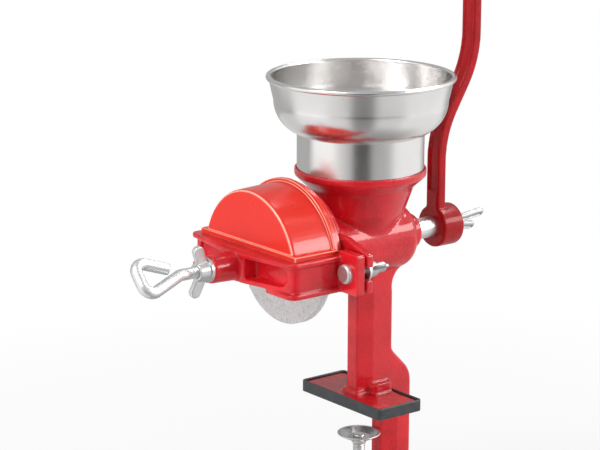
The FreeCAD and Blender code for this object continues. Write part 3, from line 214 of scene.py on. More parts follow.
# %% [markdown]
# ## Red enamel on cast iron
#
# The body, the yoke and the crank are sand castings dipped in gloss enamel. Sand
# leaves a soft orange peel a few millimetres wide under the paint. The red is painted
# darker in the hollows, as painted shade, and paler on the ridges, as thin paint with a
# painted highlight. A clear coat over a rougher red gives the hard highlight that lies on
# top of the colour. The crank has the same enamel in a deeper red, which is painted shade.

# %% Red enamel
PEEL_CELL, SAND_CELL, WAVE_CELL, CLOUD_CELL, GLOSS_CELL = 3.4, 1.0, 11, 24, 12
WAVE_SHARE, SKIN_DEPTH = 1.7, 0.40
CLOUD_RANGE, HOLLOW_SHADE_RANGE, THIN_PAINT_HIGHLIGHT_RANGE = (0.35, 0.7), (0.495, 0.42), (0.54, 0.62)
THIN_PAINT_HIGHLIGHT_SHARE, COAT_LEAD = 0.25, 3
ENAMEL_ROUGHNESS, GLOSS_DRIFT = 0.30, 0.18
HOLLOW_SHADE_RED, THIN_PAINT_HIGHLIGHT_RED = (0.26, 0.002, 0.006), (0.80, 0.11, 0.09)


def red_enamel(name, clear, cloudy, gloss):
    """Enamel that drifts between two reds, with painted shade in hollows and paler ridges, thin
    paint with a painted highlight.

    The relief is the sum of three noises, and the widest weighs most. The clear coat is
    three times as glossy as the red under it.
    """
    enamel = Finish(
        name, Specular_IOR_Level=gloss / COAT_LEAD,
        Coat_Weight=gloss, Coat_Roughness=0.09, Coat_IOR=1.5)
    peel = enamel.noise(PEEL_CELL, detail=2.0)
    sand = enamel.noise(SAND_CELL, detail=2.0)
    waves = enamel.noise(WAVE_CELL, detail=1.0)
    cloud = enamel.noise(CLOUD_CELL, detail=4.0).between(*CLOUD_RANGE)
    # painted shade: the red darkens in the hollows
    painted_hollow_shade = enamel.edges.between(*HOLLOW_SHADE_RANGE)
    # paler ridges: thin paint with a painted highlight
    thin_paint_and_highlight = enamel.edges.between(*THIN_PAINT_HIGHLIGHT_RANGE)
    red = enamel.blend(cloud, clear, cloudy)
    red = enamel.blend(painted_hollow_shade, red, HOLLOW_SHADE_RED)
    red = enamel.blend(thin_paint_and_highlight * THIN_PAINT_HIGHLIGHT_SHARE, red, THIN_PAINT_HIGHLIGHT_RED)
    enamel.set("Base Color", red)
    enamel.set("Roughness", enamel.noise(GLOSS_CELL) * GLOSS_DRIFT + ENAMEL_ROUGHNESS)
    enamel.bump(peel + sand + waves * WAVE_SHARE, SKIN_DEPTH)
    enamel.tell()
    return enamel


# %% Enamel of the body, and a deeper copy for the crank as painted shade
body_enamel = red_enamel("red_enamel_body", (0.68, 0.009, 0.018), (0.52, 0.005, 0.012), gloss=0.6)
# the crank's deeper red is painted shade on the body's enamel
shaded_crank_enamel = red_enamel("red_enamel_crank_shaded", (0.43, 0.004, 0.008), (0.33, 0.003, 0.006), gloss=0.3)

# %% [markdown]
# ## Red plastic
#
# The burr cover is moulded in a brighter, slightly orange red. It is smoother than the
# castings: only a faint waviness, and a dull bloom of fine handling marks. Along the edge
# of its face a pale line is a painted highlight. There the surface turns from the front
# to the side, so the way that it faces is what marks the line. Its ridges carry a paler
# painted highlight too.

# %% Red plastic
HANDLED_CELL, SCUFF_CELL, RIPPLE_CELL, RIPPLE_DEPTH = 11, 1.1, 9, 0.10
SCUFF_STRETCH, SCUFF_RANGE, RIDGE_RANGE = (1, 0.12, 0.5), (0.62, 0.72), (0.52, 0.56)
PLASTIC_ROUGHNESS, HANDLED_DULL, SCUFF_DULL = 0.22, 0.16, 0.08
EDGE_OUTER, EDGE_INNER = (0.50, 0.66), (0.95, 0.86)
EDGE_HIGHLIGHT_SHARE, RIDGE_HIGHLIGHT_SHARE = 0.65, 0.8
ORANGE, DEEP_ORANGE = (0.77, 0.022, 0.011), (0.69, 0.024, 0.013)
EDGE_HIGHLIGHT, RIDGE_HIGHLIGHT = (1.0, 0.60, 0.44), (1.0, 0.50, 0.34)

plastic = Finish(
    "red_plastic_moulded", Specular_IOR_Level=0.35, Coat_Weight=0.35, Coat_Roughness=0.12)
handled = plastic.noise(HANDLED_CELL, detail=5.0, roughness=0.65)
scuffs = plastic.noise(SCUFF_CELL, detail=2.0, stretch=SCUFF_STRETCH).between(*SCUFF_RANGE)
# painted highlight on the ridges
ridge = plastic.edges.between(*RIDGE_RANGE)
facing = plastic.add("TexCoord", output="Normal")
facing_front = plastic.add("SeparateXYZ", {0: facing}, output="X") * -1.0
# painted highlight: a pale line where the face turns to the side
painted_edge_highlight = facing_front.between(*EDGE_OUTER) * facing_front.between(*EDGE_INNER)
red = plastic.blend(handled, ORANGE, DEEP_ORANGE)
red = plastic.blend(painted_edge_highlight * EDGE_HIGHLIGHT_SHARE, red, EDGE_HIGHLIGHT)
plastic.set("Base Color", plastic.blend(ridge * RIDGE_HIGHLIGHT_SHARE, red, RIDGE_HIGHLIGHT))
plastic.set("Roughness", handled * HANDLED_DULL + scuffs * SCUFF_DULL + PLASTIC_ROUGHNESS)
plastic.bump(plastic.noise(RIPPLE_CELL, detail=1.0), RIPPLE_DEPTH)
plastic.tell()

# %% [markdown]
# ## Polished steel
#
# The hopper is spun on a lathe and polished while it turns. Its mirror is broken by
# hair lines that run round it, so the relief changes along Z only, and fingers leave
# patches a little duller. Bright and dark bands then come from the studio, not from paint.

# %% Polished steel of the hopper
ROUND_Z = (0.004, 0.004, 1)
LINE_CELL, LINE_DEPTH, SMEAR_CELL, SMEAR_RANGE = 0.45, 0.006, 19, (0.3, 0.8)
MIRROR_ROUGHNESS, SMEAR_DULL, LINE_DULL = 0.18, 0.08, 0.05
BRIGHT_STEEL, SMEARED_STEEL = (0.76, 0.75, 0.74), (0.69, 0.68, 0.67)

polished = Finish("polished_steel_spun", Metallic=1.0)
lines = polished.noise(LINE_CELL, detail=2.0, stretch=ROUND_Z)
smears = polished.noise(SMEAR_CELL, detail=4.0, roughness=0.6)
dulled = smears.between(*SMEAR_RANGE) * SMEAR_DULL
polished.set("Base Color", polished.blend(smears, BRIGHT_STEEL, SMEARED_STEEL))
polished.set("Roughness", dulled + lines * LINE_DULL + MIRROR_ROUGHNESS)
polished.bump(lines, LINE_DEPTH)
polished.tell()

# %% [markdown]
# ## Zinc plated and ground steel
#
# Screws, nuts and washers are plated with zinc: a pale, satin metal with faint cloudy
# patches. The stamped wings had a rougher plating and are duller, and their greys are
# painted darker as painted shade. The shaft is ground bare, with fine lines round it.

# %% Zinc plated steel
CRYSTALS_PER_MM, HAZE_CELL, PLATING_CELL, PLATING_DEPTH = 0.42, 6, 1.2, 0.06
CRYSTAL_DULL, HAZE_DULL = 0.10, 0.14


def plated(name, bright, cloudy, dullness):
    """Zinc in crystals a few millimetres wide, hazed between two greys."""
    zinc = Finish(name, Metallic=0.9)
    size = {"Vector": zinc.place, "Scale": CRYSTALS_PER_MM / MM}
    crystal = zinc.add("SeparateColor", {0: zinc.add("TexVoronoi", size, output="Color")})
    haze = zinc.noise(HAZE_CELL, detail=4.0)
    zinc.set("Base Color", zinc.blend(haze, bright, cloudy))
    zinc.set("Roughness", crystal * CRYSTAL_DULL + haze * HAZE_DULL + dullness)
    zinc.bump(zinc.noise(PLATING_CELL, detail=3.0), PLATING_DEPTH)
    zinc.tell()
    return zinc


zinc = plated("zinc_plated_steel", (0.82, 0.82, 0.81), (0.60, 0.61, 0.62), dullness=0.26)
# darker greys of the wings: painted shade
shaded_stamped_zinc = plated(
    "zinc_plated_stamping_shaded", (0.58, 0.58, 0.57), (0.36, 0.37, 0.38), dullness=0.34)

# %% Ground steel
TURNING_CELL, TURNING_DEPTH, RUB_CELL, ROUND_X = 0.5, 0.012, 10, (1, 0.01, 0.01)
GROUND_ROUGHNESS, TURNING_DULL, RUB_DULL = 0.30, 0.16, 0.08

ground = Finish("ground_steel_shaft", Metallic=1.0, Base_Color=(0.74, 0.74, 0.74))
turning = ground.noise(TURNING_CELL, detail=2.0, stretch=ROUND_X)
rub = ground.noise(RUB_CELL)
ground.set("Roughness", turning * TURNING_DULL + rub * RUB_DULL + GROUND_ROUGHNESS)
ground.bump(turning, TURNING_DEPTH)
ground.tell()

# %% [markdown]
# ## Sandy cast iron, rubber and wood
#
# The burrs are bare castings, pale and dry, full of small pits. The boot is soft black
# rubber, grey along its edges from wear and from a painted highlight. The grip is turned
# wood under varnish, with its fibres drawn out along the handle.

# %% Bare cast iron
GRIT_CELL, GRIT_RANGE, GRIT_DEPTH = 1.6, (0.3, 0.7), 0.30
PIT_CELL, PIT_RANGE, PIT_SHADE, PIT_DEPTH = 4.2, (0.60, 0.68), 0.4, 0.6
CAST_ROUGHNESS, GRIT_SHINE = 0.72, 0.2
DARK_IRON, PALE_IRON, PIT_IRON = (0.50, 0.50, 0.50), (0.78, 0.78, 0.77), (0.38, 0.37, 0.36)

cast = Finish("cast_grey_sandy", Metallic=0.25)
grit = cast.noise(GRIT_CELL, detail=4.0, roughness=0.7)
pits = cast.noise(PIT_CELL, detail=2.0).between(*PIT_RANGE)
grey = cast.blend(grit.between(*GRIT_RANGE), DARK_IRON, PALE_IRON)
cast.set("Base Color", cast.blend(pits * PIT_SHADE, grey, PIT_IRON))
cast.set("Roughness", CAST_ROUGHNESS - grit * GRIT_SHINE)
cast.bump(grit - pits * PIT_DEPTH, GRIT_DEPTH)
cast.tell()

# %% Black rubber
DUST_CELL, DUST_RANGE, DUST_DULL = 7, (0.45, 0.75), 0.2
RUBBED_HIGHLIT_RANGE, RUBBED_HIGHLIT_SHARE, RUBBER_ROUGHNESS = (0.515, 0.58), 0.5, 0.42
PORE_CELL, PORE_DEPTH = 0.9, 0.05
BLACK, DUSTY, RUBBED_HIGHLIT_GREY = (0.036, 0.040, 0.044), (0.062, 0.068, 0.070), (0.17, 0.18, 0.18)

rubber = Finish("black_rubber_boot", Specular_IOR_Level=0.4)
dust = rubber.noise(DUST_CELL, detail=5.0, roughness=0.65).between(*DUST_RANGE)
# paler edges: wear from rubbing with a painted highlight
rubbed_and_highlit = rubber.edges.between(*RUBBED_HIGHLIT_RANGE)
skin = rubber.blend(dust, BLACK, DUSTY)
rubber.set("Base Color", rubber.blend(rubbed_and_highlit * RUBBED_HIGHLIT_SHARE, skin, RUBBED_HIGHLIT_GREY))
rubber.set("Roughness", dust * DUST_DULL + RUBBER_ROUGHNESS)
rubber.bump(rubber.noise(PORE_CELL, detail=2.0), PORE_DEPTH)
rubber.tell()

# %% Varnished wood
FIBRE_CELL, FIBRE_STRETCH, FIBRE_RANGE = 1.4, (0.03, 1, 1), (0.50, 0.72)
FIBRE_SHADE, FIBRE_DULL, FIBRE_DEPTH, WOOD_ROUGHNESS = 0.7, 0.2, 0.05, 0.35
BAND_CELL, BAND_STRETCH, BAND_RANGE = 8, (0.10, 1, 1), (0.35, 0.65)
HONEY, CHESTNUT, DARK_FIBRE = (0.50, 0.26, 0.105), (0.34, 0.155, 0.055), (0.17, 0.07, 0.024)

wood = Finish("varnished_wood_turned", Coat_Weight=0.8, Coat_Roughness=0.12)
fibres = wood.noise(FIBRE_CELL, detail=4.0, roughness=0.6, stretch=FIBRE_STRETCH)
bands = wood.noise(BAND_CELL, detail=2.0, stretch=BAND_STRETCH)
brown = wood.blend(bands.between(*BAND_RANGE), HONEY, CHESTNUT)
shade = fibres.between(*FIBRE_RANGE) * FIBRE_SHADE
wood.set("Base Color", wood.blend(shade, brown, DARK_FIBRE))
wood.set("Roughness", fibres * FIBRE_DULL + WOOD_ROUGHNESS)
wood.bump(fibres, FIBRE_DEPTH)
wood.tell()

# %% [markdown]
# ## Surfaces from numbers
#
# A new piece is a grid of points worked out with numpy: one direction of the grid runs
# along a profile and the other goes round. `new_piece` joins the grid into faces, merges
# the points that fall together at a pole or a seam, and turns all faces outwards.

# %% Grid of points to a mesh
import bmesh

SMOOTH_BELOW = math.radians(38)
SAME_POINT = 1e-6


def close_up(mesh):
    """Merges points that lie together and points every face outwards."""
    cells = bmesh.new()
    cells.from_mesh(mesh)
    bmesh.ops.remove_doubles(cells, verts=cells.verts, dist=SAME_POINT)
    bmesh.ops.recalc_face_normals(cells, faces=cells.faces)
    cells.to_mesh(mesh)
    cells.free()


def new_piece(name, points, faces):
    """An object from an array of points and an array of faces, smooth but for sharp edges."""
    mesh = bpy.data.meshes.new(name)
    mesh.from_pydata(points.tolist(), [], faces.tolist())
    close_up(mesh)
    mesh.shade_smooth()
    mesh.set_sharp_from_angle(angle=SMOOTH_BELOW)
    piece = bpy.data.objects.new(name, mesh)
    bpy.context.scene.collection.objects.link(piece)
    print(name, "has", len(mesh.polygons), "faces")
    return piece


def grid_faces(rows, columns):
    """Four-cornered faces of a grid whose last column joins its first."""
    number = np.arange(rows * columns).reshape(rows, columns)
    after = np.roll(number, -1, axis=1)
    corners = (number[:-1], after[:-1], after[1:], number[1:])
    return np.stack(corners, axis=-1).reshape(-1, 4)


# %% [markdown]
# A rounded corner is an arc that touches both of its sides. `rounded` takes the corners
# of a profile with a radius each, and gives points that run smoothly through it. A screw
# thread needs many points along its stretch, so `fine` adds them without moving any.

# %% Profiles
ARC_STEPS = 8
NEARLY_HALF = 0.499


def rounded(*corners):
    """Points along a profile of (along, across, radius) corners, each turned into an arc.

    A corner of radius r and half angle h between its sides is cut r / tan(h) before and
    after it. Between the cuts runs the arc, as a blend of the two cuts and the corner in
    which the corner weighs sin(h).
    """
    full = np.array([corner if len(corner) == 3 else (*corner, 0.0) for corner in corners], float)
    spots, radii = full[:, :2], full[:, 2]
    line = [spots[:1]]
    for before, spot, after, radius in zip(spots, spots[1:], spots[2:], radii[1:]):
        if radius == 0:
            line.append(spot[None])
            continue
        back, ahead = before - spot, after - spot
        back_length, ahead_length = np.linalg.norm(back), np.linalg.norm(ahead)
        half = math.acos(np.clip(back @ ahead / back_length / ahead_length, -1, 1)) / 2
        cut = min(radius / math.tan(half), back_length * NEARLY_HALF, ahead_length * NEARLY_HALF)
        first, last = spot + back / back_length * cut, spot + ahead / ahead_length * cut
        t = np.linspace(0, 1, ARC_STEPS)[:, None]
        weight = math.sin(half)
        bend = (1 - t) ** 2 * first + 2 * weight * t * (1 - t) * spot + t ** 2 * last
        line.append(bend / ((1 - t) ** 2 + 2 * weight * t * (1 - t) + t ** 2))
    line.append(spots[-1:])
    return np.concatenate(line)


def fine(line, step):
    """The same line with points added so that none are further apart than the step."""
    gaps = np.linalg.norm(np.diff(line, axis=0), axis=1)
    counts = np.maximum(np.ceil(gaps / step).astype(int), 1)
    places = np.concatenate([[0], np.cumsum(gaps)])
    inner = [np.linspace(a, b, n, endpoint=False) for a, b, n in zip(places, places[1:], counts)]
    wanted = np.concatenate([*inner, places[-1:]])
    return np.stack([np.interp(wanted, places, column) for column in line.T], axis=-1)


trial = rounded((0, 0), (0, 5, 1), (5, 5))
print("a round corner gives", len(trial), "points, and fine makes them", len(fine(trial, 0.5)))

# %% [markdown]
# A thread is a ripple of the radius that climbs as it goes round: at a place `a` along
# the axis and an angle `t` it is deepest where `a / pitch - t / turn` is a whole number.
# Written so, one formula cuts the thread on a turned bar and on a bent one alike.

# %% Threads
TURN = 2 * math.pi
THREAD_STEP = 0.16


def thread_cut(along, angle, low, high, pitch, depth):
    """How deep a thread is cut, in millimetres, between two places along its axis.

    The depth follows a cosine of the place less the share of a turn, and it fades out
    within one pitch of each end.
    """
    wave = 0.5 + 0.5 * np.cos(TURN * along / pitch - angle)
    fade = np.clip((along - low) / pitch, 0, 1) * np.clip((high - along) / pitch, 0, 1)
    return depth * wave * fade


# %% Turned pieces
def turned(name, profile, origin, axis="Z", columns=96, thread=None):
    """Turns a profile of (along, radius) millimetres about a line through the origin.

    A point at distance a along the line and radius r goes to r cos t and r sin t beside
    the line, for every angle t of the grid.
    """
    along, radius = profile.T[:, :, None]
    angle = np.linspace(0, TURN, columns, endpoint=False)[None, :]
    if thread:
        radius = radius - thread_cut(along, angle, *thread)
    one, two, along = radius * np.cos(angle), radius * np.sin(angle), along + 0 * angle
    order = (one, two, along) if axis == "Z" else (along, one, two)
    points = np.stack(order, axis=-1).reshape(-1, 3) * MM + np.array(origin)
    return new_piece(name, points, grid_faces(len(profile), columns))


# %% Bent bars
def bent_bar(name, line, radius, tilt, origin, thread, columns=28):
    """A round bar along a line in the XZ plane, tilted about X, closed at both ends.

    Beside a point of the line lie r cos t along Y and r sin t along the line's own
    normal; the radius r shrinks to nothing at the two ends, which closes them.
    """
    run = np.gradient(line, axis=0)
    run /= np.linalg.norm(run, axis=1)[:, None]
    angle = np.linspace(0, TURN, columns, endpoint=False)[None, :]
    radius = radius[:, None] - thread_cut(line[:, :1], angle, *thread)
    across = radius * np.cos(angle)
    out = radius * np.sin(angle)
    x = line[:, :1] - run[:, 1:] * out
    z = line[:, 1:] + run[:, :1] * out
    turned_y = across * math.cos(tilt) - z * math.sin(tilt)
    turned_z = across * math.sin(tilt) + z * math.cos(tilt)
    points = np.stack((x, turned_y, turned_z), axis=-1).reshape(-1, 3) * MM + np.array(origin)
    return new_piece(name, points, grid_faces(len(line), columns))


# %% [markdown]
# ## Castings with soft edges
#
# A casting has no sharp edge: the pattern is rounded so that it leaves the sand, and the
# corners are filled. The CAD solid has the right form with crisp edges, so each casting
# is a copy of it, rebuilt from small even cells and then relaxed. Relaxing moves every
# point toward the middle of its neighbours, which rounds ridges and fills corners alike,
# while flats stay flat.

# %% Even cells, relaxed
def relaxed(piece, cell, passes, swell=0.0, share=None):
    """Rebuilds a piece from cells of that size in millimetres and relaxes it that often.

    Relaxing thins a slender piece, so it may swell by that many millimetres first. The
    share, where it is given, is how much of the faces is kept.
    """
    remesh = piece.modifiers.new("even_cells", "REMESH")
    remesh.mode = "VOXEL"
    remesh.voxel_size = cell * MM
    grow = piece.modifiers.new("grow", "DISPLACE")
    grow.strength = swell * MM
    grow.mid_level = 0
    relax = piece.modifiers.new("relax", "SMOOTH")
    relax.factor = 0.5
    relax.iterations = passes
    if share:
        thin = piece.modifiers.new("thin_out", "DECIMATE")
        thin.ratio = share
    shaped = piece.evaluated_get(bpy.context.evaluated_depsgraph_get())
    mesh = bpy.data.meshes.new_from_object(shaped)
    piece.modifiers.clear()
    piece.data = mesh
    mesh.shade_smooth()
    print(piece.name, "has", sum(len(face.vertices) - 2 for face in mesh.polygons), "triangles")
    return piece


# %% Soft copies of CAD nodes
def softened(name, node, **how):
    """A copy of a CAD node, relaxed as asked."""
    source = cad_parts[node].data
    points = np.empty(len(source.vertices) * 3)
    source.vertices.foreach_get("co", points)
    source.calc_loop_triangles()
    corners = np.empty(len(source.loop_triangles) * 3, int)
    source.loop_triangles.foreach_get("vertices", corners)
    copy = new_piece(name, points.reshape(-1, 3), corners.reshape(-1, 3))
    return relaxed(copy, **how)


# %% Hand a piece over to its body
def settle(piece, body, finish, slot, *nodes):
    """Gives a piece its material and lets it stand for CAD nodes on a body."""
    piece.data.materials.clear()
    piece.data.materials.append(finish.material)
    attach(piece, body)
    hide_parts(*nodes)
    return piece


# %% Body, yoke and crank
body = softened("mill_casting", "mill_body", cell=1.1, passes=5, share=0.8)
settle(body, "frame", body_enamel, "red_enamel", "mill_body")
yoke = softened("yoke_casting", "yoke", cell=0.8, passes=6)
settle(yoke, "frame", body_enamel, "red_enamel", "yoke")
crank = softened("crank_casting", "crank_arm", cell=0.8, passes=16, swell=0.25)
settle(crank, "crank", shaded_crank_enamel, "red_enamel", "crank_arm")

# %% Cover and boot
cover = softened("burr_cover_moulding", "burr_cover", cell=0.58, passes=3)
settle(cover, "cover", plastic, "red_plastic", "burr_cover")
boot = softened("rubber_boot", "table_boot", cell=0.6, passes=3)
settle(boot, "frame", rubber, "black_rubber", "table_boot")

# %% Wing nut of the adjusting screw
lock_nut = softened("lock_nut_winged", "lock_wing_nut", cell=0.4, passes=4, swell=0.3)
settle(lock_nut, "lock_nut", zinc, "zinc_steel", "lock_wing_nut")

# %% [markdown]
# ## Stamped wings
#
# The nuts of the yoke and the screw of the crank have small stamped wings with a bead
# along the edge and a hollow in each face. A wing is a paddle: a long round outline,
# filled from its middle line to its edge. The hub is turned, and both become one piece
# when they are rebuilt from the same small cells.

# %% A wing
WING_COLUMNS, WING_ARC = 40, 7
HOLLOW_SHARE = 0.7
END_SPREAD = 2


def paddle(length, half_width, half_thick, hollow):
    """A wing that lies flat: along, across and height in millimetres, as a grid.

    Round the outline the angle u turns once. Each row of the grid is the middle line
    plus a reach times (cos u, sin u); rows near the edge follow a half circle over the
    thickness, and rows near the middle lie lower by the hollow. The middle line's own
    place is the length times a half plus 2 cos u, held between 0 and 1.
    """
    u = np.linspace(0, TURN, WING_COLUMNS, endpoint=False)[None, :]
    over = np.linspace(math.pi / 2, -math.pi / 2, WING_ARC)
    flat = half_width - half_thick
    edge = flat + half_thick * np.cos(over)
    dip = flat * HOLLOW_SHARE
    low = half_thick - hollow
    reach = np.concatenate([[0, dip], edge, [dip, 0]])[:, None]
    height = np.concatenate([[low, low], half_thick * np.sin(over), [-low, -low]])[:, None]
    middle_line = length * np.clip(0.5 + END_SPREAD * np.cos(u), 0, 1)
    return middle_line + reach * np.cos(u), reach * np.sin(u), height + 0 * u


print("a wing's grid is", paddle(4, 4, 1.5, 0.5)[0].shape)

# %% A winged hub
WING_CELL, WING_PASSES = 0.35, 3


def winged(name, hub, origin, turn_degrees, root, lean_degrees, size):
    """A turned hub along X with two paddles that lean away along it.

    The paddle's middle line starts at the root, a place along the axis and a radius. Its
    direction is cos(lean) along the axis and sin(lean) outwards.
    """
    theta, lean = math.radians(turn_degrees), math.radians(lean_degrees)
    piece = turned(name, hub, origin, "X", columns=64)
    cells = bmesh.new()
    cells.from_mesh(piece.data)
    along, across, height = paddle(*size)
    axial = root[0] + along * math.cos(lean) - across * math.sin(lean)
    radial = root[1] + along * math.sin(lean) + across * math.cos(lean)
    for side in (1, -1):
        x = axial
        y = side * (height * math.cos(theta) - radial * math.sin(theta))
        z = side * (height * math.sin(theta) + radial * math.cos(theta))
        points = np.stack((x, y, z), axis=-1).reshape(-1, 3) * MM + np.array(origin)
        wing = new_piece("wing", points, grid_faces(*along.shape))
        cells.from_mesh(wing.data)
        bpy.data.objects.remove(wing)
    cells.to_mesh(piece.data)
    cells.free()
    return relaxed(piece, WING_CELL, WING_PASSES)


# %% Middle of a node
def middle(node):
    """The middle of a CAD node's box, in metres."""
    low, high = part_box(node)
    return np.array((low + high) / 2)


print("the near nut is at", middle("near_wing_nut").round(4))

# %% Nuts of the yoke
NUT_RADIUS, NUT_LENGTH, NUT_TAPER, NUT_BORE = 7.2, 9.0, 1.4, 4.15
NUT_FOOT_ROUND, NUT_END_ROUND = 0.5, 0.8
NUT_ROOT, NUT_LEAN, NUT_TURN = (7.0, 8.2), 44, 70
NUT_WING = (4.2, 3.9, 1.5, 0.5)
nut_hub = rounded(
    (0, NUT_BORE), (0, NUT_RADIUS, NUT_FOOT_ROUND),
    (NUT_LENGTH, NUT_RADIUS - NUT_TAPER, NUT_END_ROUND), (NUT_LENGTH, NUT_BORE), (0, NUT_BORE))
for side in ("near", "far"):
    node = side + "_wing_nut"
    foot = (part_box(node)[0].x, *middle(node)[1:])
    nut = winged(side + "_nut_winged", nut_hub, foot, NUT_TURN, NUT_ROOT, NUT_LEAN, NUT_WING)
    settle(nut, side + "_nut", shaded_stamped_zinc, "zinc_steel", node)

# %% Wing screw of the crank
HEAD_RADIUS, HEAD_LENGTH, HEAD_TAPER = 7.0, 8.5, 1.4
HEAD_FOOT_ROUND, HEAD_END_ROUND = 0.5, 1.2
SHANK_RADIUS, SHANK_LENGTH, SHANK_BEVEL = 3.9, 15.0, 0.6
HEAD_ROOT, HEAD_LEAN, HEAD_TURN = (4.5, 4.4), 12, 40
HEAD_WING = (19.5, 4.2, 2.6, 1.1)
foot = (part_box("crank_washer")[1].x, *middle("crank_wing_screw")[1:])
head_hub = rounded(
    (-SHANK_LENGTH, 0), (-SHANK_LENGTH, SHANK_RADIUS, SHANK_BEVEL), (0, SHANK_RADIUS),
    (0, HEAD_RADIUS, HEAD_FOOT_ROUND),
    (HEAD_LENGTH, HEAD_RADIUS - HEAD_TAPER, HEAD_END_ROUND), (HEAD_LENGTH, 0))
head = winged("crank_screw_winged", head_hub, foot, HEAD_TURN, HEAD_ROOT, HEAD_LEAN, HEAD_WING)
settle(head, "crank_screw", shaded_stamped_zinc, "zinc_steel", "crank_wing_screw")

# %% [markdown]
# ## Hopper
#
# The hopper is one sheet of steel: a straight neck, a tight turn out into a wide round
# base, a nearly upright wall, and a rim that is rolled outwards over itself. One profile
# that goes up the outside, round the roll and down the inside gives both faces at once.
# The profile is written as radius and height above the shaft line.

# %% Hopper profile
SHAFT_LINE = np.array((-0.003, 0.0, 0.1345))
NECK_RADIUS, NECK_FOOT, NECK_TOP = 50.4, 54.5, 88.5
WALL = 1.0
BASE_BEND = 28.0
SIDE_FOOT = (69.0, 114.5)
BEAD_MIDDLE = (73.0, 132.5)
BEAD_RADIUS = 2.0
BEAD_START, BEAD_END, BEAD_STEPS = math.radians(-100), math.radians(200), 20


def arc(start, end, radius, turn, steps=24):
    """Points of the short arc of that radius from start to end; turn 1 bends left, -1 right.

    The middle of the arc lies beside the middle of the chord, as far off as the other
    side of a right triangle with the radius and half the chord.
    """
    start, end = np.array(start, float), np.array(end, float)
    run = end - start
    chord = np.linalg.norm(run)
    rise = math.sqrt(max(radius ** 2 - chord ** 2 / 4, 0)) * turn
    centre = (start + end) / 2 + np.array((-run[1], run[0])) / chord * rise
    first = math.atan2(*(start - centre)[::-1])
    sweep = (math.atan2(*(end - centre)[::-1]) - first) % TURN
    sweep = sweep if turn > 0 else sweep - TURN
    angle = first + np.linspace(0, 1, steps) * sweep
    return centre + radius * np.stack((np.cos(angle), np.sin(angle)), axis=-1)


def hopper_profile():
    """Foot of the neck, the outside, the rolled bead and back down the inside."""
    inner_neck = NECK_RADIUS - WALL
    foot = (inner_neck, NECK_FOOT)
    outside = arc((NECK_RADIUS, NECK_TOP), SIDE_FOOT, BASE_BEND, 1)
    inner_side = (SIDE_FOOT[0] - WALL, SIDE_FOOT[1])
    inside = arc(inner_side, (inner_neck, NECK_TOP + WALL / 2), BASE_BEND - WALL, -1)
    angle = np.linspace(BEAD_START, BEAD_END, BEAD_STEPS)
    bead = np.stack((np.cos(angle), np.sin(angle)), axis=-1) * BEAD_RADIUS + BEAD_MIDDLE
    return np.concatenate([[foot, (NECK_RADIUS, NECK_FOOT)], outside, bead, inside, [foot]])


print("the hopper's profile has", len(hopper_profile()), "points")

# %% Hopper
hopper = turned("hopper_bowl", hopper_profile()[:, ::-1], SHAFT_LINE, columns=192)
settle(hopper, "hopper", polished, "polished_steel", "hopper")

# %% [markdown]
# ## Adjusting screw
#
# The screw that sets the burrs is one round bar. Its straight stem carries the thread,
# and the rest is bent into a three-cornered handle. The bar is a ring of points carried
# along the line of the bends, so the thread and the bends stay one surface.

# %% Line of the bent bar
SCREW_RADIUS = 4.6
SCREW_TIP, STEM_END, HANDLE_END = -99.6, -174.0, -210.5
LEG_ANGLE, RETURN_ANGLE = math.radians(19), math.radians(22.7)
HANDLE_RISE = 18.2
BAR_BEND = 7.0
TAIL = 21.0
HANDLE_TILT = math.radians(-41.4)
END_ROUND = 1.1
SCREW_THREAD = (-171.0, SCREW_TIP, 1.5, 0.55)


def bar_line():
    """Stem, leg, end bar and return leg in the XZ plane, with an arc at every bend."""
    leg, back = math.tan(LEG_ANGLE), math.tan(RETURN_ANGLE)
    leg_foot = STEM_END + BAR_BEND * math.tan(LEG_ANGLE / 2)
    low_corner = (leg_foot - HANDLE_END) * -leg
    reach = HANDLE_END + BAR_BEND + TAIL
    return rounded(
        (SCREW_TIP, 0), (leg_foot - 2 * BAR_BEND * math.tan(LEG_ANGLE / 2), 0, BAR_BEND),
        (HANDLE_END, low_corner, BAR_BEND), (HANDLE_END, HANDLE_RISE, BAR_BEND),
        (reach, HANDLE_RISE - (reach - HANDLE_END) * back))


print("the bar's line has", len(bar_line()), "points")

# %% Adjusting screw
line = fine(bar_line(), THREAD_STEP * 2)
from_tip = np.linalg.norm(line - line[0], axis=1)
from_tail = np.linalg.norm(line - line[-1], axis=1)
nearest = np.minimum(np.minimum(from_tip, from_tail), END_ROUND)
bar_radius = SCREW_RADIUS - END_ROUND + np.sqrt(END_ROUND ** 2 - (END_ROUND - nearest) ** 2)
bar_radius[[0, -1]] = 0
screw = bent_bar("adjusting_bar", line, bar_radius, HANDLE_TILT, SHAFT_LINE, SCREW_THREAD)
settle(screw, "adjusting_screw", zinc, "zinc_steel", "adjusting_screw")
print("the bar is", round(float(np.linalg.norm(np.diff(line, axis=0), axis=1).sum())), "mm long")

# %% [markdown]
# ## Bolts, clamp screw and disc
#
# The yoke bolts have a low round head and a thread that sticks out of the wing nuts. The
# clamp screw is a coarser bar: a swaged tip that holds the dished disc, a long thread and
# a cross bored head. Each is a turned profile, read from its foot to its end.

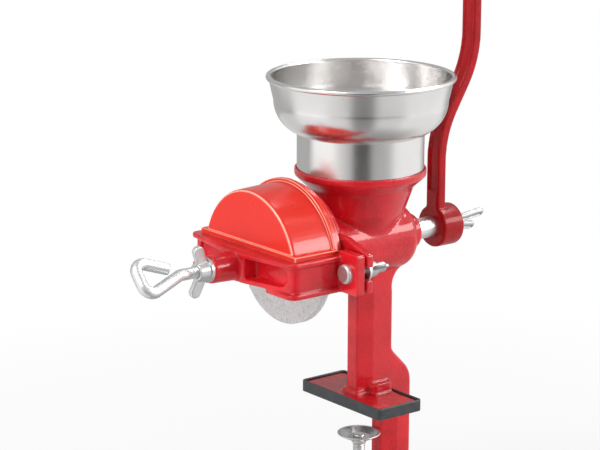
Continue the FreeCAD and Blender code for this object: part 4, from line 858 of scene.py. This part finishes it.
# %% Yoke bolts
BOLT_RADIUS, BOLT_HEAD_RADIUS = 4.0, 7.6
BOLT_HEAD, BOLT_HEAD_ROUND, BOLT_HEAD_EDGE, BOLT_END_BEVEL = 4.2, 3.4, 0.3, 0.8
BOLT_PITCH, BOLT_THREAD_DEPTH, BOLT_PLAIN = 1.25, 0.5, 14.0
bolt_low, bolt_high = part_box("yoke_bolts")
bolt_length = (bolt_high.x - bolt_low.x) / MM
bolt_profile = fine(rounded(
    (0, 0), (0, BOLT_HEAD_RADIUS, BOLT_HEAD_ROUND), (BOLT_HEAD, BOLT_HEAD_RADIUS, BOLT_HEAD_EDGE),
    (BOLT_HEAD, BOLT_RADIUS), (bolt_length - BOLT_END_BEVEL, BOLT_RADIUS),
    (bolt_length, BOLT_RADIUS - BOLT_END_BEVEL), (bolt_length, 0)), THREAD_STEP)
bolt_thread = (BOLT_PLAIN, bolt_length + BOLT_PITCH, BOLT_PITCH, BOLT_THREAD_DEPTH)
bolt_side = bolt_high.y - BOLT_HEAD_RADIUS * MM
for name, side in (("near_yoke_bolt", -bolt_side), ("far_yoke_bolt", bolt_side)):
    foot = (bolt_low.x, side, SHAFT_LINE[2])
    bolt = turned(name, bolt_profile, foot, "X", columns=40, thread=bolt_thread)
    settle(bolt, "frame", zinc, "zinc_steel", "yoke_bolts")

# %% Clamp screw
CLAMP_RADIUS, CLAMP_HEAD_RADIUS, CLAMP_HEAD = 5.0, 8.0, 15.0
TIP_RADIUS, TIP_FLARE, TIP_HEIGHT, TIP_EDGE, TIP_ROUND = 3.2, 4.8, 2.0, 0.4, 1.6
FOOT_ROUND, NECK_ROUND, SHOULDER = 1.5, 1.2, 1.0
DISC_UNDER = 7.5
CLAMP_PITCH, CLAMP_THREAD_DEPTH = 1.9, 0.75
clamp_low, clamp_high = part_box("clamp_screw")
clamp_length = (clamp_high.z - clamp_low.z) / MM
clamp_shoulder = clamp_length - DISC_UNDER
clamp_profile = fine(rounded(
    (0, 0), (0, CLAMP_HEAD_RADIUS, FOOT_ROUND), (CLAMP_HEAD, CLAMP_HEAD_RADIUS, NECK_ROUND),
    (CLAMP_HEAD, CLAMP_RADIUS), (clamp_shoulder - SHOULDER, CLAMP_RADIUS),
    (clamp_shoulder, TIP_RADIUS), (clamp_length - TIP_HEIGHT, TIP_RADIUS),
    (clamp_length - TIP_HEIGHT, TIP_FLARE, TIP_EDGE), (clamp_length, TIP_FLARE, TIP_ROUND),
    (clamp_length, 0)), THREAD_STEP * 1.5)
clamp_thread = (CLAMP_HEAD, clamp_shoulder, CLAMP_PITCH, CLAMP_THREAD_DEPTH)
clamp_foot = (*middle("clamp_disc")[:2], clamp_low.z)
clamp = turned("clamp_bar", clamp_profile, clamp_foot, columns=48, thread=clamp_thread)
settle(clamp, "clamp_screw", zinc, "zinc_steel", "clamp_screw")

# %% Clamp disc
DISC_RADIUS, DISC_WALL = 17.6, 2.0
DISH_RADIUS, DISH_DEPTH, DISH_ROUND = 9.0, 3.6, 3.0
HUB_RADIUS, HUB_HEIGHT, HUB_ROUND, HOLE_RADIUS = 5.8, 3.4, 0.5, 3.25
RIM_UNDER, RIM_OUTER, RIM_INNER = 0.5, 0.45, 0.9
disc_low, disc_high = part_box("clamp_disc")
disc_foot = (*middle("clamp_disc")[:2], disc_low.z)
disc_top = (disc_high.z - disc_low.z) / MM
dish_floor = disc_top - DISH_DEPTH
disc_profile = rounded(
    (0, HOLE_RADIUS), (0, HUB_RADIUS, HUB_ROUND), (HUB_HEIGHT, HUB_RADIUS, HUB_ROUND),
    (HUB_HEIGHT, DISH_RADIUS, DISH_ROUND), (disc_top - DISC_WALL / 2, DISC_RADIUS, RIM_UNDER),
    (disc_top, DISC_RADIUS, RIM_OUTER), (disc_top, DISC_RADIUS - DISC_WALL, RIM_INNER),
    (dish_floor, DISH_RADIUS, DISH_ROUND), (dish_floor, HOLE_RADIUS), (0, HOLE_RADIUS))
disc = turned("clamp_dish", disc_profile, disc_foot, columns=96)
settle(disc, "clamp_disc", zinc, "zinc_steel", "clamp_disc")

# %% [markdown]
# ## Grip
#
# The grip is turned on a lathe from one billet: a long swell for the palm, and near each
# end a fine groove that the turner cuts to mark the shoulder.

# %% Grip
GRIP_RADIUS, GRIP_NECK, GRIP_BORE = 15.5, 10.5, 4.05
GRIP_ROUND, GRIP_STEPS = 2.0, 180
GROOVE_PLACE, GROOVE_DEPTH, GROOVE_HALF = 7.0, 0.7, 0.9
grip_low, grip_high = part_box("grip")
grip_length = (grip_high.x - grip_low.x) / MM
half_grip = grip_length / 2
swell = GRIP_RADIUS - GRIP_NECK
bow = (half_grip ** 2 + swell ** 2) / (2 * swell)
along = np.linspace(GRIP_ROUND, grip_length - GRIP_ROUND, GRIP_STEPS)
outside = GRIP_RADIUS - bow + np.sqrt(bow ** 2 - (along - half_grip) ** 2)
for groove in (GROOVE_PLACE, grip_length - GROOVE_PLACE):
    outside -= GROOVE_DEPTH * np.exp(-((along - groove) / GROOVE_HALF) ** 2)
shoulder = np.linspace(0, math.pi / 2, ARC_STEPS)[:-1]
end_along = GRIP_ROUND * (1 - np.sin(shoulder))
end_radius = outside[0] - GRIP_ROUND * (1 - np.cos(shoulder))
near_bore, far_bore = (0, GRIP_BORE), (grip_length, GRIP_BORE)
near_end = np.stack((end_along, end_radius), axis=-1)[::-1]
palm = np.stack((along, outside), axis=-1)
far_end = np.stack((grip_length - end_along, end_radius), axis=-1)
grip_profile = np.concatenate([[near_bore], near_end, palm, far_end, [far_bore, near_bore]])
grip_foot = (grip_low.x, *middle("grip")[1:])
grip = turned("wooden_grip", grip_profile, grip_foot, "X", columns=72)
settle(grip, "grip", wood, "varnished_wood", "grip")

# %% [markdown]
# ## Finishes of the CAD pieces that stay
#
# The other nodes have the right shape already, so they keep it and take a material.

# %% Finishes for kept nodes
kept = {
    zinc: ("lock_washer", "near_washer", "far_washer", "crank_washer", "fixed_burr_screws",
           "turning_burr_screws", "grip_spindle", "grip_washer", "grip_cap_nut",
           "tee_bar", "tee_bar_ends"),
    ground: ("drive_shaft", "carrier_pin", "worm_pin", "thrust_ball"),
    cast: ("fixed_burr", "turning_burr", "burr_carrier", "feed_worm")}
for finish, nodes in kept.items():
    for node in nodes:
        for material_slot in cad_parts[node].material_slots:
            material_slot.material = finish.material
print("kept nodes:", sum(len(nodes) for nodes in kept.values()))

# %% [markdown]
# ## Studio
#
# Polished steel is a picture of what stands round it. This studio has bright walls at the
# left and the right, grey corners, and one narrow dark stretch in front, where the viewer
# stands. How bright it is in a direction is a ramp over the angle round the mill, in
# degrees from the viewer, with the right side positive. The floor and the world use the
# same ramp, so that a band runs unbroken from one to the other.

# %% Bands of the studio
TOWARD_VIEWER = (-0.616, -0.788, 0.0)
RIGHT_OF_VIEWER = (0.788, -0.616, 0.0)
WALLS = (
    (-180, 0.50), (-118, 0.55), (-108, 0.42), (-92, 1.25), (-55, 1.30), (-40, 0.90),
    (-15, 0.50), (18, 0.48), (50, 0.55), (66, 1.08), (132, 1.10), (150, 0.44), (180, 0.50))
BRIGHTEST = 2.0
DARK_LEFT, DARK_RIGHT, DARK_EDGE = -10, 13, 8
print("the walls run from", min(WALLS)[0], "to", max(WALLS)[0], "degrees")


def share_of_turn(degrees):
    """An angle from -180 to 180 degrees as a number from 0 to 1."""
    return degrees / 360 + 0.5


def studio_bands(graph, way):
    """How bright the studio is that way, and 1 where the dark stretch in front is.

    The angle is the arctangent of the share of the way that points right over the share
    that points at the viewer.
    """
    ahead, beside = (
        graph.add("VectorMath", {0: way, 1: line}, output="Value", operation="DOT_PRODUCT")
        for line in (TOWARD_VIEWER, RIGHT_OF_VIEWER))
    turn = beside.math("ARCTAN2", beside, ahead) * (1 / TURN) + 0.5
    stops = [(share_of_turn(angle), shade / BRIGHTEST) for angle, shade in WALLS]
    walls = graph.add("ValToRGB", {"Fac": turn}, stops=stops) * BRIGHTEST
    left = turn.between(share_of_turn(DARK_LEFT - DARK_EDGE), share_of_turn(DARK_LEFT))
    right = turn.between(share_of_turn(DARK_RIGHT + DARK_EDGE), share_of_turn(DARK_RIGHT))
    return walls, left * right


# %% [markdown]
# The mill stands before a plain white ground. The floor is a pale disc that catches the
# shadow. To the camera it glows a little, more and more toward its edge, so that it
# melts into the white ground behind it. In steel and enamel it shows as a sheet of paper
# does: greyer close to the mill, which is a painted shadow, bright around it, and dark
# where the viewer stands.

# %% Floor
FLOOR_RADIUS, FLOOR_GAP = 1.0, 0.001


def floor_disc(radius, height, columns=96):
    """A flat disc: one ring of points at that radius, joined to its middle."""
    angle = np.linspace(0, TURN, columns, endpoint=False)
    ring = np.stack((radius * np.cos(angle), radius * np.sin(angle), 0 * angle + height), axis=-1)
    points = np.concatenate([ring, [(0, 0, height)]])
    number = np.arange(columns)
    faces = np.stack((number, np.roll(number, -1), np.full(columns, columns)), axis=-1)
    return new_piece("floor", points, faces)


floor = floor_disc(FLOOR_RADIUS, cad_low.z - FLOOR_GAP)

# %% Paper of the floor
FLOOR_GREY = (0.86, 0.86, 0.86)
FADE_START, FADE_END = 0.25, 0.75
CAMERA_GLOW, MIRROR_SHARE = 0.72, 0.9
NEAR_SHADE, NEAR_RADIUS, SHEET_RADIUS = 0.35, 0.20, 0.42
SHEET_BASE, SHEET_WALLS, SHEET_DARK = 0.62, 0.35, 0.72

pale = Finish("pale_floor", Base_Color=FLOOR_GREY, Roughness=0.8)
out = pale.add("VectorMath", {0: pale.place}, output="Value", operation="LENGTH")
melt = out.between(FADE_START, FADE_END)
seen = pale.add("LightPath", output="Is Camera Ray")
mirrored = pale.add("LightPath", output="Is Glossy Ray")
walls, dark = studio_bands(pale, pale.place)
sheet = (walls * SHEET_WALLS + SHEET_BASE) * (1 - dark * SHEET_DARK)
# painted shadow: the floor shows greyer close to the mill in reflections
close = out.between(SHEET_RADIUS, NEAR_RADIUS)
shown = seen + mirrored * (sheet * (1 - close) + close * NEAR_SHADE)
white = pale.add("Emission", {"Color": (1, 1, 1), "Strength": shown})
glow = seen * (melt * (1 - CAMERA_GLOW) + CAMERA_GLOW) + mirrored * MIRROR_SHARE
mixed = pale.add("MixShader", {0: glow, 1: Wire(pale, pale.shader.outputs[0]), 2: white})
pale.join(pale.tree.nodes["Material Output"].inputs["Surface"], mixed)
floor.data.materials.append(pale.material)
pale.tell()

# %% [markdown]
# The world has the same bands, evens out overhead, and is plain white behind the mill.
# It lights the mill less than it shows in steel, so that the lamps give the form.

# %% World
DARK_LOW, DARK_HIGH, DARK_FADE, DARK_DEPTH = -0.48, 0.02, 0.08, 0.40
OVERHEAD, OVERHEAD_START, OVERHEAD_END = 0.55, 0.40, 0.62
FILL = 0.36

world = bpy.data.worlds.new("studio")
bpy.context.scene.world = world
world.use_nodes = True
studio = Graph(world.node_tree)
way = studio.add("TexCoord", output="Generated")
height = studio.add("SeparateXYZ", {0: way}, output="Z")
walls, dark = studio_bands(studio, way)
dark = dark * height.between(DARK_LOW - DARK_FADE, DARK_LOW)
dark = dark * height.between(DARK_HIGH + DARK_FADE, DARK_HIGH)
above = height.between(OVERHEAD_START, OVERHEAD_END)
level = (walls - dark * DARK_DEPTH) * (1 - above) + above * OVERHEAD
seen = studio.add("LightPath", output="Is Camera Ray")
mirrored = studio.add("LightPath", output="Is Glossy Ray")
backdrop = studio.tree.nodes["Background"]
studio.join(backdrop.inputs["Color"], (1, 1, 1))
strength = seen + mirrored * level + (1 - seen) * (1 - mirrored) * FILL
studio.join(backdrop.inputs["Strength"], strength)
print("the world has", len(studio.tree.nodes), "nodes")

# %% [markdown]
# ## Lamps
#
# Two soft lamps stand above the bright walls: one high on the left, which lights the
# cover, and one wide and low on the right, which lights the flanks. A third one, near the
# floor at the left, reaches in under the burrs to the column; it shows in no reflection.
# The fourth, a strip high behind the crank, does nothing else: it lays the bright line
# along the top of the barrel.

# %% Lamps
LIT_POINT = Vector((-0.02, 0, 0.13))


def softbox(name, place, width, height, power):
    """A soft lamp that faces the mill, with its sides in metres and its power in watts."""
    data = bpy.data.lights.new(name, "AREA")
    data.shape = "RECTANGLE"
    data.size = width
    data.size_y = height
    data.energy = power
    lamp = bpy.data.objects.new(name, data)
    bpy.context.scene.collection.objects.link(lamp)
    lamp.location = place
    lamp.rotation_mode = "QUATERNION"
    lamp.rotation_quaternion = (LIT_POINT - Vector(place)).to_track_quat("-Z", "Y")
    print(name, "gives", power, "W")
    return lamp


softbox("lamp_left", place=(-1.25, -0.08, 1.54), width=0.8, height=0.8, power=19)
softbox("lamp_right", place=(1.18, -1.31, 0.84), width=1.5, height=0.55, power=27)
low_lamp = softbox("lamp_low", place=(-1.45, 0.1, 0.1), width=0.9, height=0.35, power=8)
low_lamp.visible_glossy = False
top_lamp = softbox("lamp_top", place=(0.94, 0.0, 1.39), width=1.0, height=0.3, power=13)
top_lamp.visible_diffuse = False
bpy.context.scene.view_settings.view_transform = "Standard"
